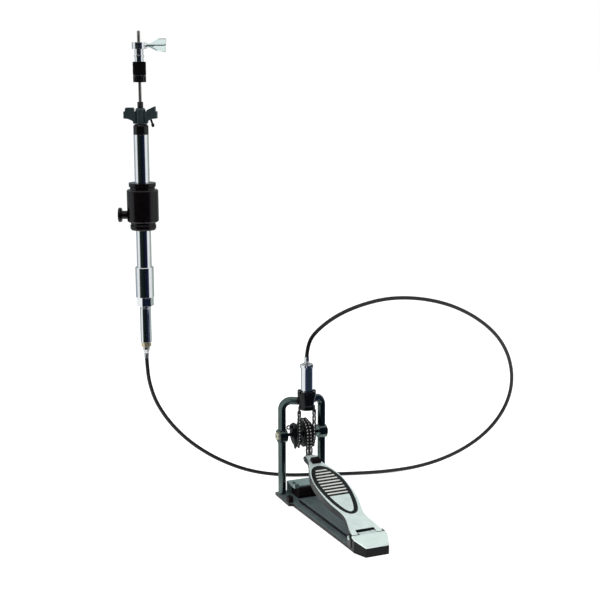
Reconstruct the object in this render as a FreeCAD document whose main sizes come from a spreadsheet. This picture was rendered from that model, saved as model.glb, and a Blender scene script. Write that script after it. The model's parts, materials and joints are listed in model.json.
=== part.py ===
"""Remote hi-hat: a rod-and-clutch unit joined by a pull cable to a chain-drive floor pedal.

Millimetres, +Z up.  The origin is the middle of the clamp sleeve on the tube's axis.  The pedal
is drawn about its own origin, on the floor midway between its posts, with +Y towards the posts'
back and -Y towards the heel.
"""
import FreeCAD, Part
import Sketcher
import math
import os

Vector = FreeCAD.Vector
UP = Vector(0, 0, 1)
ACROSS = Vector(1, 0, 0)

# ---------------------------------------------------------------- driving sizes
SIZES = (
    # how the two units stand to each other
    ("floor_drop", 574, "floor below the middle of the clamp sleeve"),
    ("pedal_x", 273, "pedal's middle, across from the tube's axis"),
    ("pedal_y", -137, "pedal's post line, in front of the tube's axis"),
    ("upper_turn", 23, "turn of the clutch screw, seat arms and knob about the tube"),
    ("nut_turn", 6, "turn of the hexagon nuts about the tube"),
    # clearances
    ("run_fit", 0.06, "radial clearance of parts that slide or turn on each other"),
    ("seat_gap", 0.3, "gap between faces of parts that move apart"),
    # pull rod
    ("rod_radius", 3, ""),
    ("rod_top", 328, "tip of the rod above the origin"),
    ("piston_top", -60, "top of the spring cap on the rod"),
    ("piston_length", 8, ""),
    # clutch
    ("clutch_base", 233, "underside of the clutch's bottom nut"),
    ("clutch_nut_length", 13, ""),
    ("clutch_nut_radius", 12.2, ""),
    ("flute_radius", 1.5, ""),
    ("felt_length", 12.5, ""),
    ("felt_radius", 12.6, ""),
    ("neck_radius", 5, "threaded neck of the clutch inside the felts"),
    ("clutch_radius", 8.3, "clutch tube above the felts"),
    ("clutch_length", 23.3, ""),
    ("clutch_ring_radius", 9.6, ""),
    ("clutch_ring_length", 3, ""),
    ("clutch_ring_rise", 9, "height of the ring above the felts"),
    ("collar_radius", 12.9, ""),
    ("collar_length", 12.3, ""),
    ("wing_shank_radius", 2.6, ""),
    ("wing_neck_radius", 4.6, ""),
    ("wing_reach", 50.5, "outer end of the clutch screw's wings"),
    ("wing_span", 28, ""),
    ("wing_thick", 5, ""),
    ("wing_lean", 35, "turn of the wings about the clutch screw's own axis"),
    # cymbal seat
    ("socket_foot", 135.5, "top of the seat tube, where the socket sits"),
    ("socket_length", 19.5, ""),
    ("socket_radius", 14.4, ""),
    ("socket_plug", 16, "plug of the socket inside the tube"),
    ("guide_radius", 5.6, ""),
    ("guide_top", 196.5, ""),
    ("seat_hub_radius", 9.6, ""),
    ("seat_hub_length", 29, ""),
    ("seat_bore", 7.8, ""),
    ("rock_gap", 0.75, "gap under the seat's hub, so that it can rock"),
    ("seat_reach", 31.5, "half span of the seat's arms"),
    ("seat_arm_width", 17, ""),
    ("seat_arm_rise", 10, "underside of the arms above the hub's foot"),
    ("seat_foot_radius", 13.2, "foot of the gussets under the arms"),
    ("seat_arm_thick", 13, ""),
    ("pad_inner", 12, "inner end of the pads on the arms"),
    ("pad_outer", 28.5, ""),
    ("pad_height", 7, ""),
    ("wedge_height", 9.5, "right pad, which rises outwards"),
    ("pad_round", 1.6, ""),
    ("tilt_screw_radius", 2, ""),
    ("tilt_screw_out", 18.5, ""),
    ("tilt_screw_length", 22, ""),
    ("tilt_screw_lean", 18, ""),
    # seat tube, clamp sleeve and its knob
    ("tube_radius", 14.3, ""),
    ("tube_wall", 1.6, ""),
    ("sleeve_radius", 30.2, ""),
    ("sleeve_half", 31, ""),
    ("sleeve_neck_radius", 23.8, ""),
    ("sleeve_neck", 4.5, ""),
    ("sleeve_flange_radius", 25.9, ""),
    ("sleeve_top_flange", 8.5, ""),
    ("sleeve_foot_flange", 11, ""),
    ("knob_drop", 18, "knob's axis below the origin"),
    ("knob_radius", 14, ""),
    ("knob_thick", 6.5, ""),
    ("knob_reach", 47, ""),
    ("knob_stub_radius", 8, ""),
    ("knob_thread_radius", 4, ""),
    # spring housing and cable socket
    ("housing_top", -119, ""),
    ("housing_length", 59, ""),
    ("housing_radius", 17.8, ""),
    ("housing_lap", 10, "how far the tube goes into the housing"),
    ("housing_floor", 6, ""),
    ("spring_radius", 11.2, ""),
    ("spring_wire", 1.5, ""),
    ("spring_turns", 9, ""),
    ("spring_seat_thick", 7, ""),
    ("lock_nut_thick", 17.4, ""),
    ("lock_nut_corner", 16.8, ""),
    ("stem_radius", 8, "threaded stem of the cable socket"),
    ("socket_ring_radius", 10.2, ""),
    ("socket_ring", 5, ""),
    ("cable_socket_radius", 10.9, ""),
    ("cable_socket_length", 67, ""),
    ("end_nut_thick", 9, ""),
    ("end_nut_corner", 9.8, ""),
    ("wire_radius", 0.9, "inner wire of the cable"),
    ("ferrule_shank", 4.4, ""),
    ("ferrule_radius", 6.6, ""),
    ("ferrule_tip_radius", 4.6, ""),
    ("ferrule_length", 22.4, ""),
    ("cable_radius", 3.75, ""),
    # pedal frame
    ("base_half", 52, "half width of the base at the posts"),
    ("base_back", 12, ""),
    ("base_shoulder", 57, ""),
    ("base_waist", 44.5, ""),
    ("base_heel_half", 33, ""),
    ("base_thick", 6, ""),
    ("ridge_height", 6, ""),
    ("ridge_width", 4.5, ""),
    ("ridge_stop", 44, "end of the ridges in front of the heel block"),
    ("bracket_height", 31.5, ""),
    ("bracket_depth", 38, ""),
    ("bracket_thick", 3, ""),
    ("bracket_back", 2, "back face of the bracket in front of the posts' line"),
    ("slot_width", 6, ""),
    ("lip_width", 9, "lip bent up at the bracket's front left corner"),
    ("lip_rise", 6, ""),
    ("block_half", 24, "half width of the rubber block under the bracket"),
    ("pad_width", 9, "small rubber block at the base's shoulder"),
    ("pad_rise", 11, ""),
    ("post_half", 42.2, "post axis from the pedal's middle"),
    ("post_radius", 7.7, ""),
    ("arm_rise", 15.6, "arms of the posts above the foot of the cable cup"),
    ("arch_bend", 19, ""),
    ("housing_disc_radius", 13.6, "bearing housing on a post"),
    ("housing_disc_half", 8, ""),
    ("axle_height", 125, ""),
    ("axle_radius", 3.2, ""),
    ("bearing_radius", 9, ""),
    ("bearing_thick", 5, ""),
    ("cap_radius", 7.6, ""),
    # cable cup and barrel
    ("yoke_leg", 6, "yoke's bar above the top pins of the side chains"),
    ("yoke_lift", 0.4, "yoke's bar above the cup's foot"),
    ("cup_height", 37, ""),
    ("cup_radius", 18.2, ""),
    ("cup_waist_radius", 14, ""),
    ("cup_ring_radius", 15.4, ""),
    ("cup_ring_height", 9, ""),
    ("cup_bore", 8, ""),
    ("crown_depth", 6, ""),
    ("crown_teeth", 8, ""),
    ("barrel_radius", 11.7, ""),
    ("barrel_flare_radius", 13, ""),
    ("barrel_reach", 89.6, "top of the barrel above the cup's foot"),
    ("barrel_flare", 9, ""),
    ("barrel_shank", 16, ""),
    ("ferrule_rise", 15, "tip of the lower ferrule above the barrel"),
    # chain and wheels
    ("chain_pitch", 6.35, ""),
    ("plate_height", 5.7, ""),
    ("plate_thick", 0.7, ""),
    ("plate_gap", 0.25, "side clearance between inner and outer plates"),
    ("roller_radius", 1.5, ""),
    ("roller_width", 2.6, ""),
    ("pin_radius", 1.1, ""),
    ("strand_pitch", 6.9, "between the middles of the two drive strands"),
    ("drive_teeth", 27, ""),
    ("drive_pay_out", 4, "drive links that leave the wheel in a full stroke"),
    ("drive_held", 4, "drive links that stay on the wheel"),
    ("drive_out", 4, "drive wheel, chain and toe ears off the pedal's middle"),
    ("pull_teeth", 24, "chain pitches round a side wheel's pitch circle"),
    ("pull_take_up", 4, "pull links that the side wheels take up in a full stroke"),
    ("pull_wrapped", 4, "pull links on a side wheel at rest"),
    ("pull_straight", 8, "pull links above the side wheel at rest"),
    ("run_links", 7, "drive links between wheel and footboard at rest"),
    ("fork_thick", 1.2, "cheeks of the fork that holds a side chain's end"),
    ("fork_radius", 5.2, ""),
    ("side_chain_out", 15.8, "middle of a side chain from the pedal's middle"),
    ("side_disc_thick", 6.4, ""),
    ("loop_arm_thick", 2.4, "arm on the axle that carries the looped screw"),
    ("loop_arm_reach", 15, ""),
    ("loop_radius", 3.4, ""),
    ("loop_wire", 1.4, ""),
    # footboard and heel
    ("hinge_back", 293, "heel hinge in front of the posts"),
    ("hinge_height", 22, ""),
    ("hinge_pin_radius", 2.5, ""),
    ("knuckle_radius", 6.5, ""),
    ("knuckle_half", 18, "half width of the heel plate's tongue"),
    ("hinge_half", 30, ""),
    ("toe_drop", 7.45, "toe pin below the line from the hinge along the board"),
    ("board_length", 262, ""),
    ("board_half", 32, ""),
    ("board_thick", 4.6, ""),
    ("board_wall", 3, ""),
    ("board_skirt", 15, ""),
    ("inset_depth", 1.4, ""),
    ("ring_width", 8, "black ring round the ribs and the panel"),
    ("panel_length", 62, "plain silver panel at the heel's end of the field"),
    ("ear_thick", 3.2, ""),
    ("ear_radius", 5.4, ""),
    ("ear_root", 20, ""),
    ("hinge_notch", 4, "open notch in front of the tongue's knuckle"),
    ("toe_block_half", 9.3, ""),
    ("toe_block_out", 2.2, "toe block off the board's middle"),
    ("toe_block_length", 15, ""),
    ("toe_block_back", 31, ""),
    ("rib_count", 9, ""),
    ("rib_pitch", 9.8, ""),
    ("rib_width", 4, ""),
    ("heel_length", 45, "heel plate behind the hinge"),
    ("heel_tip_half", 22.5, ""),
    ("heel_chamfer", 27, ""),
    ("heel_tip_height", 19.5, ""),
    ("heel_plate_thick", 3, ""),
)


class Size:
    """A sheet value that keeps its expression, so that sums of sizes stay bound to the sheet."""

    def __init__(self, number, text):
        self.number = float(number)
        self.text = text

    def __add__(self, other):
        other = as_size(other)
        return Size(self.number + other.number, "(%s + %s)" % (self.text, other.text))

    def __sub__(self, other):
        other = as_size(other)
        return Size(self.number - other.number, "(%s - %s)" % (self.text, other.text))

    def __mul__(self, other):
        other = as_size(other)
        return Size(self.number * other.number, "(%s * %s)" % (self.text, other.text))

    def __truediv__(self, other):
        other = as_size(other)
        return Size(self.number / other.number, "(%s / %s)" % (self.text, other.text))

    def __radd__(self, other):
        return as_size(other) + self

    def __rsub__(self, other):
        return as_size(other) - self

    def __rmul__(self, other):
        return as_size(other) * self

    def __neg__(self):
        return as_size(0) - self


def as_size(value):
    if isinstance(value, Size):
        return value
    return Size(value, "(%.9f)" % value if value < 0 else "%.9f" % value)


class Sheet:
    """Attribute access to the spreadsheet: S.rod_radius is a Size, N.rod_radius its number."""

    def __init__(self, numbers_only):
        self.numbers_only = numbers_only

    def __getattr__(self, alias):
        number = float(sheet.get(alias))
        return number if self.numbers_only else Size(number, "sizes." + alias)


doc = FreeCAD.newDocument("remote_hi_hat")
sheet = doc.addObject("Spreadsheet::Sheet", "sizes")
for row, (alias, number, note) in enumerate(SIZES, start=1):
    sheet.set("A%d" % row, str(number))
    sheet.setAlias("A%d" % row, alias)
    sheet.set("B%d" % row, note or alias.replace("_", " "))
doc.recompute()
S = Sheet(False)
N = Sheet(True)
nodes = []


# ---------------------------------------------------------------- modelling helpers
def bind(item, prop, value):
    """Set a property from a Size or a number; a Size stays tied to the sheet."""
    value = as_size(value)
    item.setExpression(prop, value.text)


def move(item, at):
    for letter, value in zip("xyz", at):
        bind(item, "Placement.Base." + letter, value)
    return item


def direct(item, direction):
    """Lay an item whose own axis is +Z along another direction."""
    item.Placement = FreeCAD.Placement(Vector(), FreeCAD.Rotation(UP, direction))
    return item


def cylinder(name, radius, length, at=(0, 0, 0), direction=UP):
    item = direct(doc.addObject("Part::Cylinder", name), direction)
    bind(item, "Radius", radius)
    bind(item, "Height", length)
    return move(item, at)


def box(name, size, corner):
    item = doc.addObject("Part::Box", name)
    for prop, value in zip(("Length", "Width", "Height"), size):
        bind(item, prop, value)
    return move(item, corner)


def hexagon(name, corner_radius, length, at=(0, 0, 0)):
    item = doc.addObject("Part::Prism", name)
    item.Polygon = 6
    bind(item, "Circumradius", corner_radius)
    bind(item, "Height", length)
    return move(item, at)


def fused(name, items):
    item = doc.addObject("Part::MultiFuse", name)
    item.Shapes = items
    return item


def cut(name, base, tools):
    tool = tools[0] if len(tools) == 1 else fused(name + "_tools", tools)
    item = doc.addObject("Part::Cut", name)
    item.Base = base
    item.Tool = tool
    return item


def common(name, one, other):
    item = doc.addObject("Part::Common", name)
    item.Base = one
    item.Tool = other
    return item


def profile_sketch(body, role, points):
    """A closed outline of straight lines whose corners are all tied to the sheet."""
    sketch = body.newObject("Sketcher::SketchObject", body.Name + "_profile")
    plane = next(item for item in body.Origin.OriginFeatures if item.Role == role)
    sketch.AttachmentSupport = [(plane, "")]
    sketch.MapMode = "FlatFace"
    points = [(as_size(x), as_size(y)) for x, y in points]
    count = len(points)
    for index in range(count):
        ends = [points[index], points[(index + 1) % count]]
        start, end = [Vector(x.number, y.number, 0) for x, y in ends]
        sketch.addGeometry(Part.LineSegment(start, end), False)
    for index in range(count):
        sketch.addConstraint(Sketcher.Constraint("Coincident", index, 2, (index + 1) % count, 1))
    for index, point in enumerate(points):
        for kind, value in zip(("DistanceX", "DistanceY"), point):
            place = sketch.addConstraint(Sketcher.Constraint(kind, index, 1, value.number))
            sketch.setExpression("Constraints[%d]" % place, value.text)
    return sketch


def turned(name, points, along="Z"):
    """A turned piece: points are (radius, height) pairs round the body's own axis."""
    body = doc.addObject("PartDesign::Body", name)
    if along == "Z":
        sketch = profile_sketch(body, "XZ_Plane", points)
        axis = "V_Axis"
    else:
        sketch = profile_sketch(body, "XY_Plane", [(height, radius) for radius, height in points])
        axis = "H_Axis"
    revolution = body.newObject("PartDesign::Revolution", name + "_turn")
    revolution.Profile = sketch
    revolution.ReferenceAxis = (sketch, [axis])
    revolution.Angle = 360
    body.Tip = revolution
    return body


def plate(name, role, points, thick, midplane=False, reverse=False):
    """A flat piece: a straight-sided outline padded square to its plane."""
    body = doc.addObject("PartDesign::Body", name)
    pad = body.newObject("PartDesign::Pad", name + "_pad")
    pad.Profile = profile_sketch(body, role, points)
    bind(pad, "Length", thick)
    pad.Midplane = midplane
    pad.Reversed = reverse
    body.Tip = pad
    return body


def feature(name, shape):
    """A form that no sketch or primitive gives; its sizes are read from the sheet."""
    item = doc.addObject("Part::Feature", name)
    item.Shape = shape
    return item


def node(name, item):
    item.Label = name
    nodes.append(item)
    return item


def upper_node(name, item, height=0, turn=S.upper_turn):
    """A piece of the rod unit that points along the turned direction of its arms and knob."""
    item.Placement = FreeCAD.Placement(Vector(), FreeCAD.Rotation(-UP, turn.number))
    bind(item, "Placement.Rotation.Angle", turn)
    bind(item, "Placement.Base.z", height)
    return node(name, item)


def pedal_node(name, item, at=(0, 0, 0)):
    """A piece drawn about the pedal's own origin, set down where the pedal stands."""
    move(item, (S.pedal_x + at[0], S.pedal_y + at[1], at[2] - S.floor_drop))
    return node(name, item)


def ring_points(inner, outer, low, high):
    return [(inner, low), (outer, low), (outer, high), (inner, high)]


# ---------------------------------------------------------------- rod unit: rod and clutch
def pull_rod():
    tip = S.rod_radius * 0.4
    points = [(0, S.piston_top), (S.rod_radius, S.piston_top), (S.rod_radius, S.rod_top - tip),
              (S.rod_radius - tip, S.rod_top), (0, S.rod_top)]
    node("pull_rod", turned("rod", points))


def spring_cap():
    """Cap on the rod's foot with the end of the cable's inner wire below it."""
    foot = S.piston_top - S.piston_length
    skirt = S.tube_radius - S.tube_wall - S.run_fit
    wire_foot = upper_ferrule_tip() + stroke() + 4
    points = [(0, wire_foot), (S.wire_radius, wire_foot), (S.wire_radius, foot), (skirt, foot),
              (skirt, S.piston_top), (0, S.piston_top)]
    node("spring_cap", turned("cap", points))


def clutch():
    felt_foot = S.clutch_base + S.clutch_nut_length
    shoulder = felt_foot + S.felt_length * 2
    top = shoulder + S.clutch_length
    ring = shoulder + S.clutch_ring_rise
    bore = S.rod_radius + S.run_fit
    points = [(bore, S.clutch_base + 1.5), (S.neck_radius, S.clutch_base + 1.5),
              (S.neck_radius, shoulder), (S.clutch_radius, shoulder), (S.clutch_radius, ring),
              (S.clutch_ring_radius, ring),
              (S.clutch_ring_radius, ring + S.clutch_ring_length),
              (S.clutch_radius, ring + S.clutch_ring_length), (S.clutch_radius, top), (bore, top)]
    node("clutch_tube", turned("clutch", points))
    collar_bore = cylinder("collar_bore", S.rod_radius + S.run_fit, S.collar_length)
    screw_hole = cylinder("collar_screw_hole", S.wing_shank_radius + S.run_fit, S.collar_radius + 4,
                          at=(0, 0, S.collar_length / 2), direction=ACROSS)
    boss = cylinder("collar_boss", S.wing_neck_radius + 0.8, S.collar_radius + 2,
                    at=(0, 0, S.collar_length / 2), direction=ACROSS)
    ring_body = cylinder("collar_ring", S.collar_radius, S.collar_length)
    collar = cut("collar", fused("collar_block", [ring_body, boss]), [collar_bore, screw_hole])
    upper_node("clutch_collar", collar, top)
    felts = []
    for name, step in (("lower", 0), ("upper", 1)):
        low = felt_foot + S.felt_length * step
        high = low + S.felt_length - S.seat_gap / 2
        felts.append(turned(name + "_felt", ring_points(S.neck_radius + S.seat_gap, S.felt_radius, low, high)))
    node("clutch_felts", fused("felt_pair", felts))


def clutch_screw():
    """Wing screw: threaded shank, swelling neck and two-lobed wing."""
    start = S.rod_radius + S.seat_gap
    shoulder = S.collar_radius + 2 + S.seat_gap
    reach = S.wing_reach
    shank_points = [(0, start), (S.wing_shank_radius, start), (S.wing_shank_radius, shoulder),
                    (S.wing_neck_radius, shoulder), (S.wing_neck_radius * 0.8, shoulder + 5),
                    (S.wing_neck_radius * 1.2, shoulder + 13), (0, shoulder + 13)]
    shank = turned("screw_shank", shank_points, along="X")
    half = S.wing_span / 2
    lobes = plate("screw_wing", "XZ_Plane",
                  [(shoulder + 7, -3.5), (reach - 16, -half * 0.75), (reach, -half * 0.9),
                   (reach, -half * 0.2), (reach - 3, 0), (reach, half * 0.2), (reach, half),
                   (reach - 14, half), (shoulder + 7, 3.5)],
                  S.wing_thick, midplane=True)
    lobes.Placement = FreeCAD.Placement(Vector(), FreeCAD.Rotation(-ACROSS, N.wing_lean))
    bind(lobes, "Placement.Rotation.Angle", S.wing_lean)
    screw = fused("screw", [shank, lobes])
    shoulder_height = S.clutch_base + S.clutch_nut_length + S.felt_length * 2 + S.clutch_length
    upper_node("clutch_wing_screw", screw, shoulder_height + S.collar_length / 2)


def clutch_nut():
    flutes = []
    for index in range(12):
        angle = math.radians(30 * index)
        place = (S.clutch_nut_radius * math.cos(angle), S.clutch_nut_radius * math.sin(angle), 0)
        flutes.append(cylinder("flute_%d" % index, S.flute_radius, S.clutch_nut_length * 0.75, at=place))
    bore = cylinder("nut_bore", S.neck_radius + S.run_fit, S.clutch_nut_length)
    blank = cylinder("nut_blank", S.clutch_nut_radius, S.clutch_nut_length - S.seat_gap)
    nut = cut("bottom_nut", blank, flutes + [bore])
    upper_node("clutch_nut", nut, S.clutch_base)


# ---------------------------------------------------------------- rod unit: seat and tube
def seat_socket():
    """Plug in the tube's mouth, with the plastic guide that the rod slides in."""
    top = S.socket_foot + S.socket_length
    plug = S.tube_radius - S.tube_wall - S.run_fit
    bore = S.guide_radius + S.run_fit / 2
    points = [(bore, S.socket_foot - S.socket_plug), (plug, S.socket_foot - S.socket_plug),
              (plug, S.socket_foot), (S.socket_radius, S.socket_foot),
              (S.socket_radius, top - 3), (S.seat_hub_radius + 1.5, top), (bore, top)]
    node("seat_socket", turned("socket", points))
    guide = ring_points(S.rod_radius + S.run_fit, S.guide_radius,
                        S.socket_foot - S.socket_plug, S.guide_top)
    node("rod_guide", turned("guide", guide))


def cymbal_seat():
    """Two-armed cradle with a pad on each arm; its hub rocks on the socket."""
    hub_points = [(S.seat_bore, 0), (S.seat_hub_radius, S.rock_gap / 5),
                  (S.seat_hub_radius, S.seat_hub_length - 3),
                  (S.seat_hub_radius - 1.6, S.seat_hub_length), (S.seat_bore, S.seat_hub_length)]
    hub = turned("seat_hub", hub_points)
    low = S.seat_arm_rise
    high = low + S.seat_arm_thick
    inner = S.seat_hub_radius - 1
    parts = [hub]
    for side, sign in (("left", -1), ("right", 1)):
        outline = [(inner * sign, S.rock_gap / 5), (S.seat_foot_radius * sign, S.rock_gap / 5),
                   (S.seat_foot_radius * sign * 1.06, low / 2), (S.seat_reach * sign * 0.72, low * 0.9),
                   (S.seat_reach * sign, low), (S.seat_reach * sign, high), (inner * sign, high)]
        parts.append(plate("seat_arm_" + side, "XZ_Plane", outline, S.seat_arm_width, midplane=True))
    arms = fused("seat_arms", parts)
    lean = math.radians(N.tilt_screw_lean)
    down = Vector(math.sin(lean), 0, -math.cos(lean))
    hole = cylinder("tilt_hole", S.tilt_screw_radius + S.run_fit, S.tilt_screw_length,
                    at=(S.tilt_screw_out - 3, 0, high - 3), direction=down)
    seats = []
    for side, sign in (("left", -1), ("right", 1)):
        corner = -S.pad_outer if sign < 0 else S.pad_inner
        seats.append(box("pad_seat_" + side, (S.pad_outer - S.pad_inner, S.seat_arm_width - S.pad_round, 3),
                         (corner, -(S.seat_arm_width - S.pad_round) / 2, high - S.pad_round / 2)))
    keyed = cut("seat", arms, [hole] + seats)
    foot = S.socket_foot + S.socket_length + S.rock_gap
    upper_node("cymbal_seat", keyed, foot)
    soft = S.pad_round
    blocks = []
    for side, sign, rise in (("left", -1, S.pad_height), ("right", 1, S.wedge_height)):
        inner_rise = rise - soft if sign < 0 else S.pad_height / 4
        outline = [(S.pad_inner * sign, high - soft / 2), (S.pad_outer * sign, high - soft / 2),
                   (S.pad_outer * sign, high + rise - soft), ((S.pad_outer - soft) * sign, high + rise),
                   ((S.pad_inner + soft) * sign, high + inner_rise + soft), (S.pad_inner * sign, high + inner_rise)]
        blocks.append(plate("pad_" + side, "XZ_Plane", outline, S.seat_arm_width - soft, midplane=True))
    upper_node("seat_pads", fused("both_pads", blocks), foot)


def tilt_screw():
    """Screw under the right arm: shank in the arm, small bar head below."""
    lean = math.radians(N.tilt_screw_lean)
    down = Vector(math.sin(lean), 0, -math.cos(lean))
    high = S.seat_arm_rise + S.seat_arm_thick
    start = (S.tilt_screw_out - 3 + 3.5 * down.x, 0, high - 3 + 3.5 * down.z)
    shank = cylinder("tilt_shank", S.tilt_screw_radius, S.tilt_screw_length, at=start, direction=down)
    reach = S.tilt_screw_length
    head_at = (start[0] + reach * down.x, start[1] - 4.5, start[2] + reach * down.z)
    head = cylinder("tilt_head", 2.2, 9, at=head_at, direction=Vector(0, 1, 0))
    collar_at = (start[0] + (reach - 4) * down.x, 0, start[2] + (reach - 4) * down.z)
    collar = cylinder("tilt_collar", 3, 4, at=collar_at, direction=down)
    screw = fused("tilt", [shank, collar, head])
    upper_node("tilt_screw", screw, S.socket_foot + S.socket_length + S.rock_gap)


def seat_tube():
    foot = S.housing_top - S.housing_lap
    points = ring_points(S.tube_radius - S.tube_wall, S.tube_radius, foot, S.socket_foot)
    node("seat_tube", turned("tube", points))


def clamp_sleeve():
    """Black sleeve on the tube, with a necked flange at each end and a tapped hole for its knob."""
    bore = S.tube_radius + S.run_fit / 2
    top = S.sleeve_half
    flange = S.sleeve_flange_radius
    points = [
        (bore, -top - S.sleeve_neck - S.sleeve_foot_flange),
        (flange - 3, -top - S.sleeve_neck - S.sleeve_foot_flange),
        (flange - 1, -top - S.sleeve_neck - S.sleeve_foot_flange + 3),
        (flange - 1, -top - S.sleeve_neck - 2),
        (S.sleeve_neck_radius, -top - S.sleeve_neck), (S.sleeve_neck_radius, -top),
        (S.sleeve_radius - 2, -top), (S.sleeve_radius, -top + 2),
        (S.sleeve_radius, top - 2), (S.sleeve_radius - 2, top),
        (S.sleeve_neck_radius, top), (S.sleeve_neck_radius, top + S.sleeve_neck),
        (flange, top + S.sleeve_neck + 1.5), (flange, top + S.sleeve_neck + S.sleeve_top_flange),
        (bore, top + S.sleeve_neck + S.sleeve_top_flange)]
    body = turned("sleeve", points)
    hole = cylinder("knob_hole", S.knob_thread_radius + S.run_fit, S.sleeve_radius + 2,
                    at=(0, 0, -S.knob_drop), direction=-ACROSS)
    upper_node("clamp_sleeve", cut("drilled_sleeve", body, [hole]))


def clamp_knob():
    tip = S.tube_radius + S.seat_gap
    stub = S.sleeve_radius + S.seat_gap
    face = S.knob_reach
    thread = S.knob_thread_radius
    points = [(0, -tip), (thread, -tip), (thread, -stub), (S.knob_stub_radius, -stub),
              (S.knob_stub_radius, -(face - S.knob_thick)),
              (S.knob_radius - 1.5, -(face - S.knob_thick)),
              (S.knob_radius, -(face - S.knob_thick + 1.5)), (S.knob_radius, -(face - 1)),
              (S.knob_radius - 1, -face), (S.knob_radius - 3.5, -face),
              (S.knob_radius - 4.5, -(face - 1.5)), (0, -(face - 1.5))]
    upper_node("clamp_knob", turned("knob", points, along="X"), -S.knob_drop)


# ---------------------------------------------------------------- rod unit: spring housing
def housing_foot():
    return S.housing_top - S.housing_length


def spring_housing():
    foot = housing_foot()
    lap = S.housing_top - S.housing_lap
    bore = S.tube_radius - S.tube_wall
    points = [(S.tube_radius + S.run_fit / 2, S.housing_top),
              (S.housing_radius - 1, S.housing_top), (S.housing_radius, S.housing_top - 1),
              (S.housing_radius, foot), (S.stem_radius + S.run_fit / 2, foot),
              (S.stem_radius + S.run_fit / 2, foot + S.housing_floor),
              (bore, foot + S.housing_floor), (bore, lap), (S.tube_radius + S.run_fit / 2, lap)]
    node("spring_housing", turned("housing", points))
    seat_low = foot + S.housing_floor
    seat = ring_points(S.wire_radius + 1, bore - S.run_fit, seat_low, seat_low + S.spring_seat_thick)
    node("spring_seat", turned("lower_spring_seat", seat))


def return_spring():
    """Coil between the spring seat and the cap on the rod."""
    low = N.housing_top - N.housing_length + N.housing_floor + N.spring_seat_thick
    high = N.piston_top - N.piston_length
    wire = N.spring_wire
    mean = N.spring_radius - wire
    length = high - low - 2 * wire - 0.4
    helix = Part.makeHelix(length / N.spring_turns, length, mean)
    ring = Part.Wire([Part.makeCircle(wire, Vector(mean, 0, 0), Vector(0, 1, 0))])
    coil = Part.Wire(helix).makePipeShell([ring], True, True)
    coil.translate(Vector(0, 0, low + wire + 0.2))
    node("return_spring", feature("spring", coil))


def end_nut_foot():
    stack = S.lock_nut_thick + S.socket_ring + S.cable_socket_length + S.end_nut_thick
    return housing_foot() - stack - S.seat_gap * 3


def upper_ferrule_tip():
    return end_nut_foot() - S.seat_gap - S.ferrule_length


def cable_socket():
    """Lock nut, thin cable tube, brass end nut and the tapered ferrule of the cable."""
    foot = housing_foot()
    nut_low = foot - S.seat_gap - S.lock_nut_thick
    nut = cut("hex_lock", hexagon("hex_blank", S.lock_nut_corner, S.lock_nut_thick),
              [cylinder("hex_bore", S.stem_radius + S.run_fit, S.lock_nut_thick)])
    upper_node("lock_nut", nut, nut_low, turn=S.nut_turn)
    ring_high = nut_low - S.seat_gap
    ring_low = ring_high - S.socket_ring
    tube_low = ring_low - S.cable_socket_length
    bore = S.wire_radius + 1.4
    mouth = S.ferrule_shank + S.run_fit / 2
    points = [(bore, foot + S.housing_floor), (S.stem_radius, foot + S.housing_floor),
              (S.stem_radius, ring_high), (S.socket_ring_radius, ring_high),
              (S.socket_ring_radius, ring_low + 1), (S.socket_ring_radius - 1, ring_low + 0.6),
              (S.socket_ring_radius - 1, ring_low), (S.cable_socket_radius, ring_low),
              (S.cable_socket_radius, tube_low), (mouth, tube_low), (mouth, tube_low + 9),
              (bore, tube_low + 9)]
    node("cable_socket", turned("thin_tube", points))
    brass_low = end_nut_foot()
    brass = cut("brass_ring", hexagon("brass_blank", S.end_nut_corner, S.end_nut_thick),
                [cylinder("brass_bore", S.ferrule_shank + S.run_fit, S.end_nut_thick)])
    upper_node("brass_nut", brass, brass_low, turn=S.nut_turn)
    shoulder = brass_low - S.seat_gap
    tip = upper_ferrule_tip()
    taper = [(S.wire_radius + 0.3, tip), (S.ferrule_tip_radius, tip),
             (S.ferrule_tip_radius, tip + S.ferrule_length * 0.45),
             (S.ferrule_tip_radius + 0.7, tip + S.ferrule_length * 0.5),
             (S.ferrule_radius - 0.6, shoulder - 7), (S.ferrule_radius, shoulder - 6),
             (S.ferrule_radius, shoulder), (S.ferrule_shank, shoulder),
             (S.ferrule_shank, tube_low + 9), (S.wire_radius + 0.3, tube_low + 9)]
    node("upper_ferrule", turned("ferrule_a", taper))


def ring_rod(radius, low, high):
    return [(0, low), (radius, low), (radius, high), (0, high)]


def stroke():
    """Travel of rod and yoke: the chain that the side wheels take up."""
    return S.chain_pitch * S.pull_take_up


# ---------------------------------------------------------------- cable
CABLE_ROUTE = (
    (0, 0, -300), (1, 0, -325), (5, 1, -355), (18, 1, -396), (47, 0, -443), (89, -3, -488),
    (143, -10, -527), (207, -21, -557), (276, -37, -570), (343, -58, -570), (411, -82, -570),
    (485, -99, -570), (564, -111, -564), (637, -124, -541), (696, -136, -503), (732, -147, -454),
    (744, -158, -398), (732, -166, -339), (699, -172, -286), (649, -172, -243), (587, -167, -210),
    (520, -161, -192), (452, -156, -187), (390, -153, -197), (337, -155, -214),
)
# Last bend of the cable, from the tip of the lower ferrule.
CABLE_ENTRY = ((20, -1, 50), (2, 0, 26), (0, 0, 0))


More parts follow.
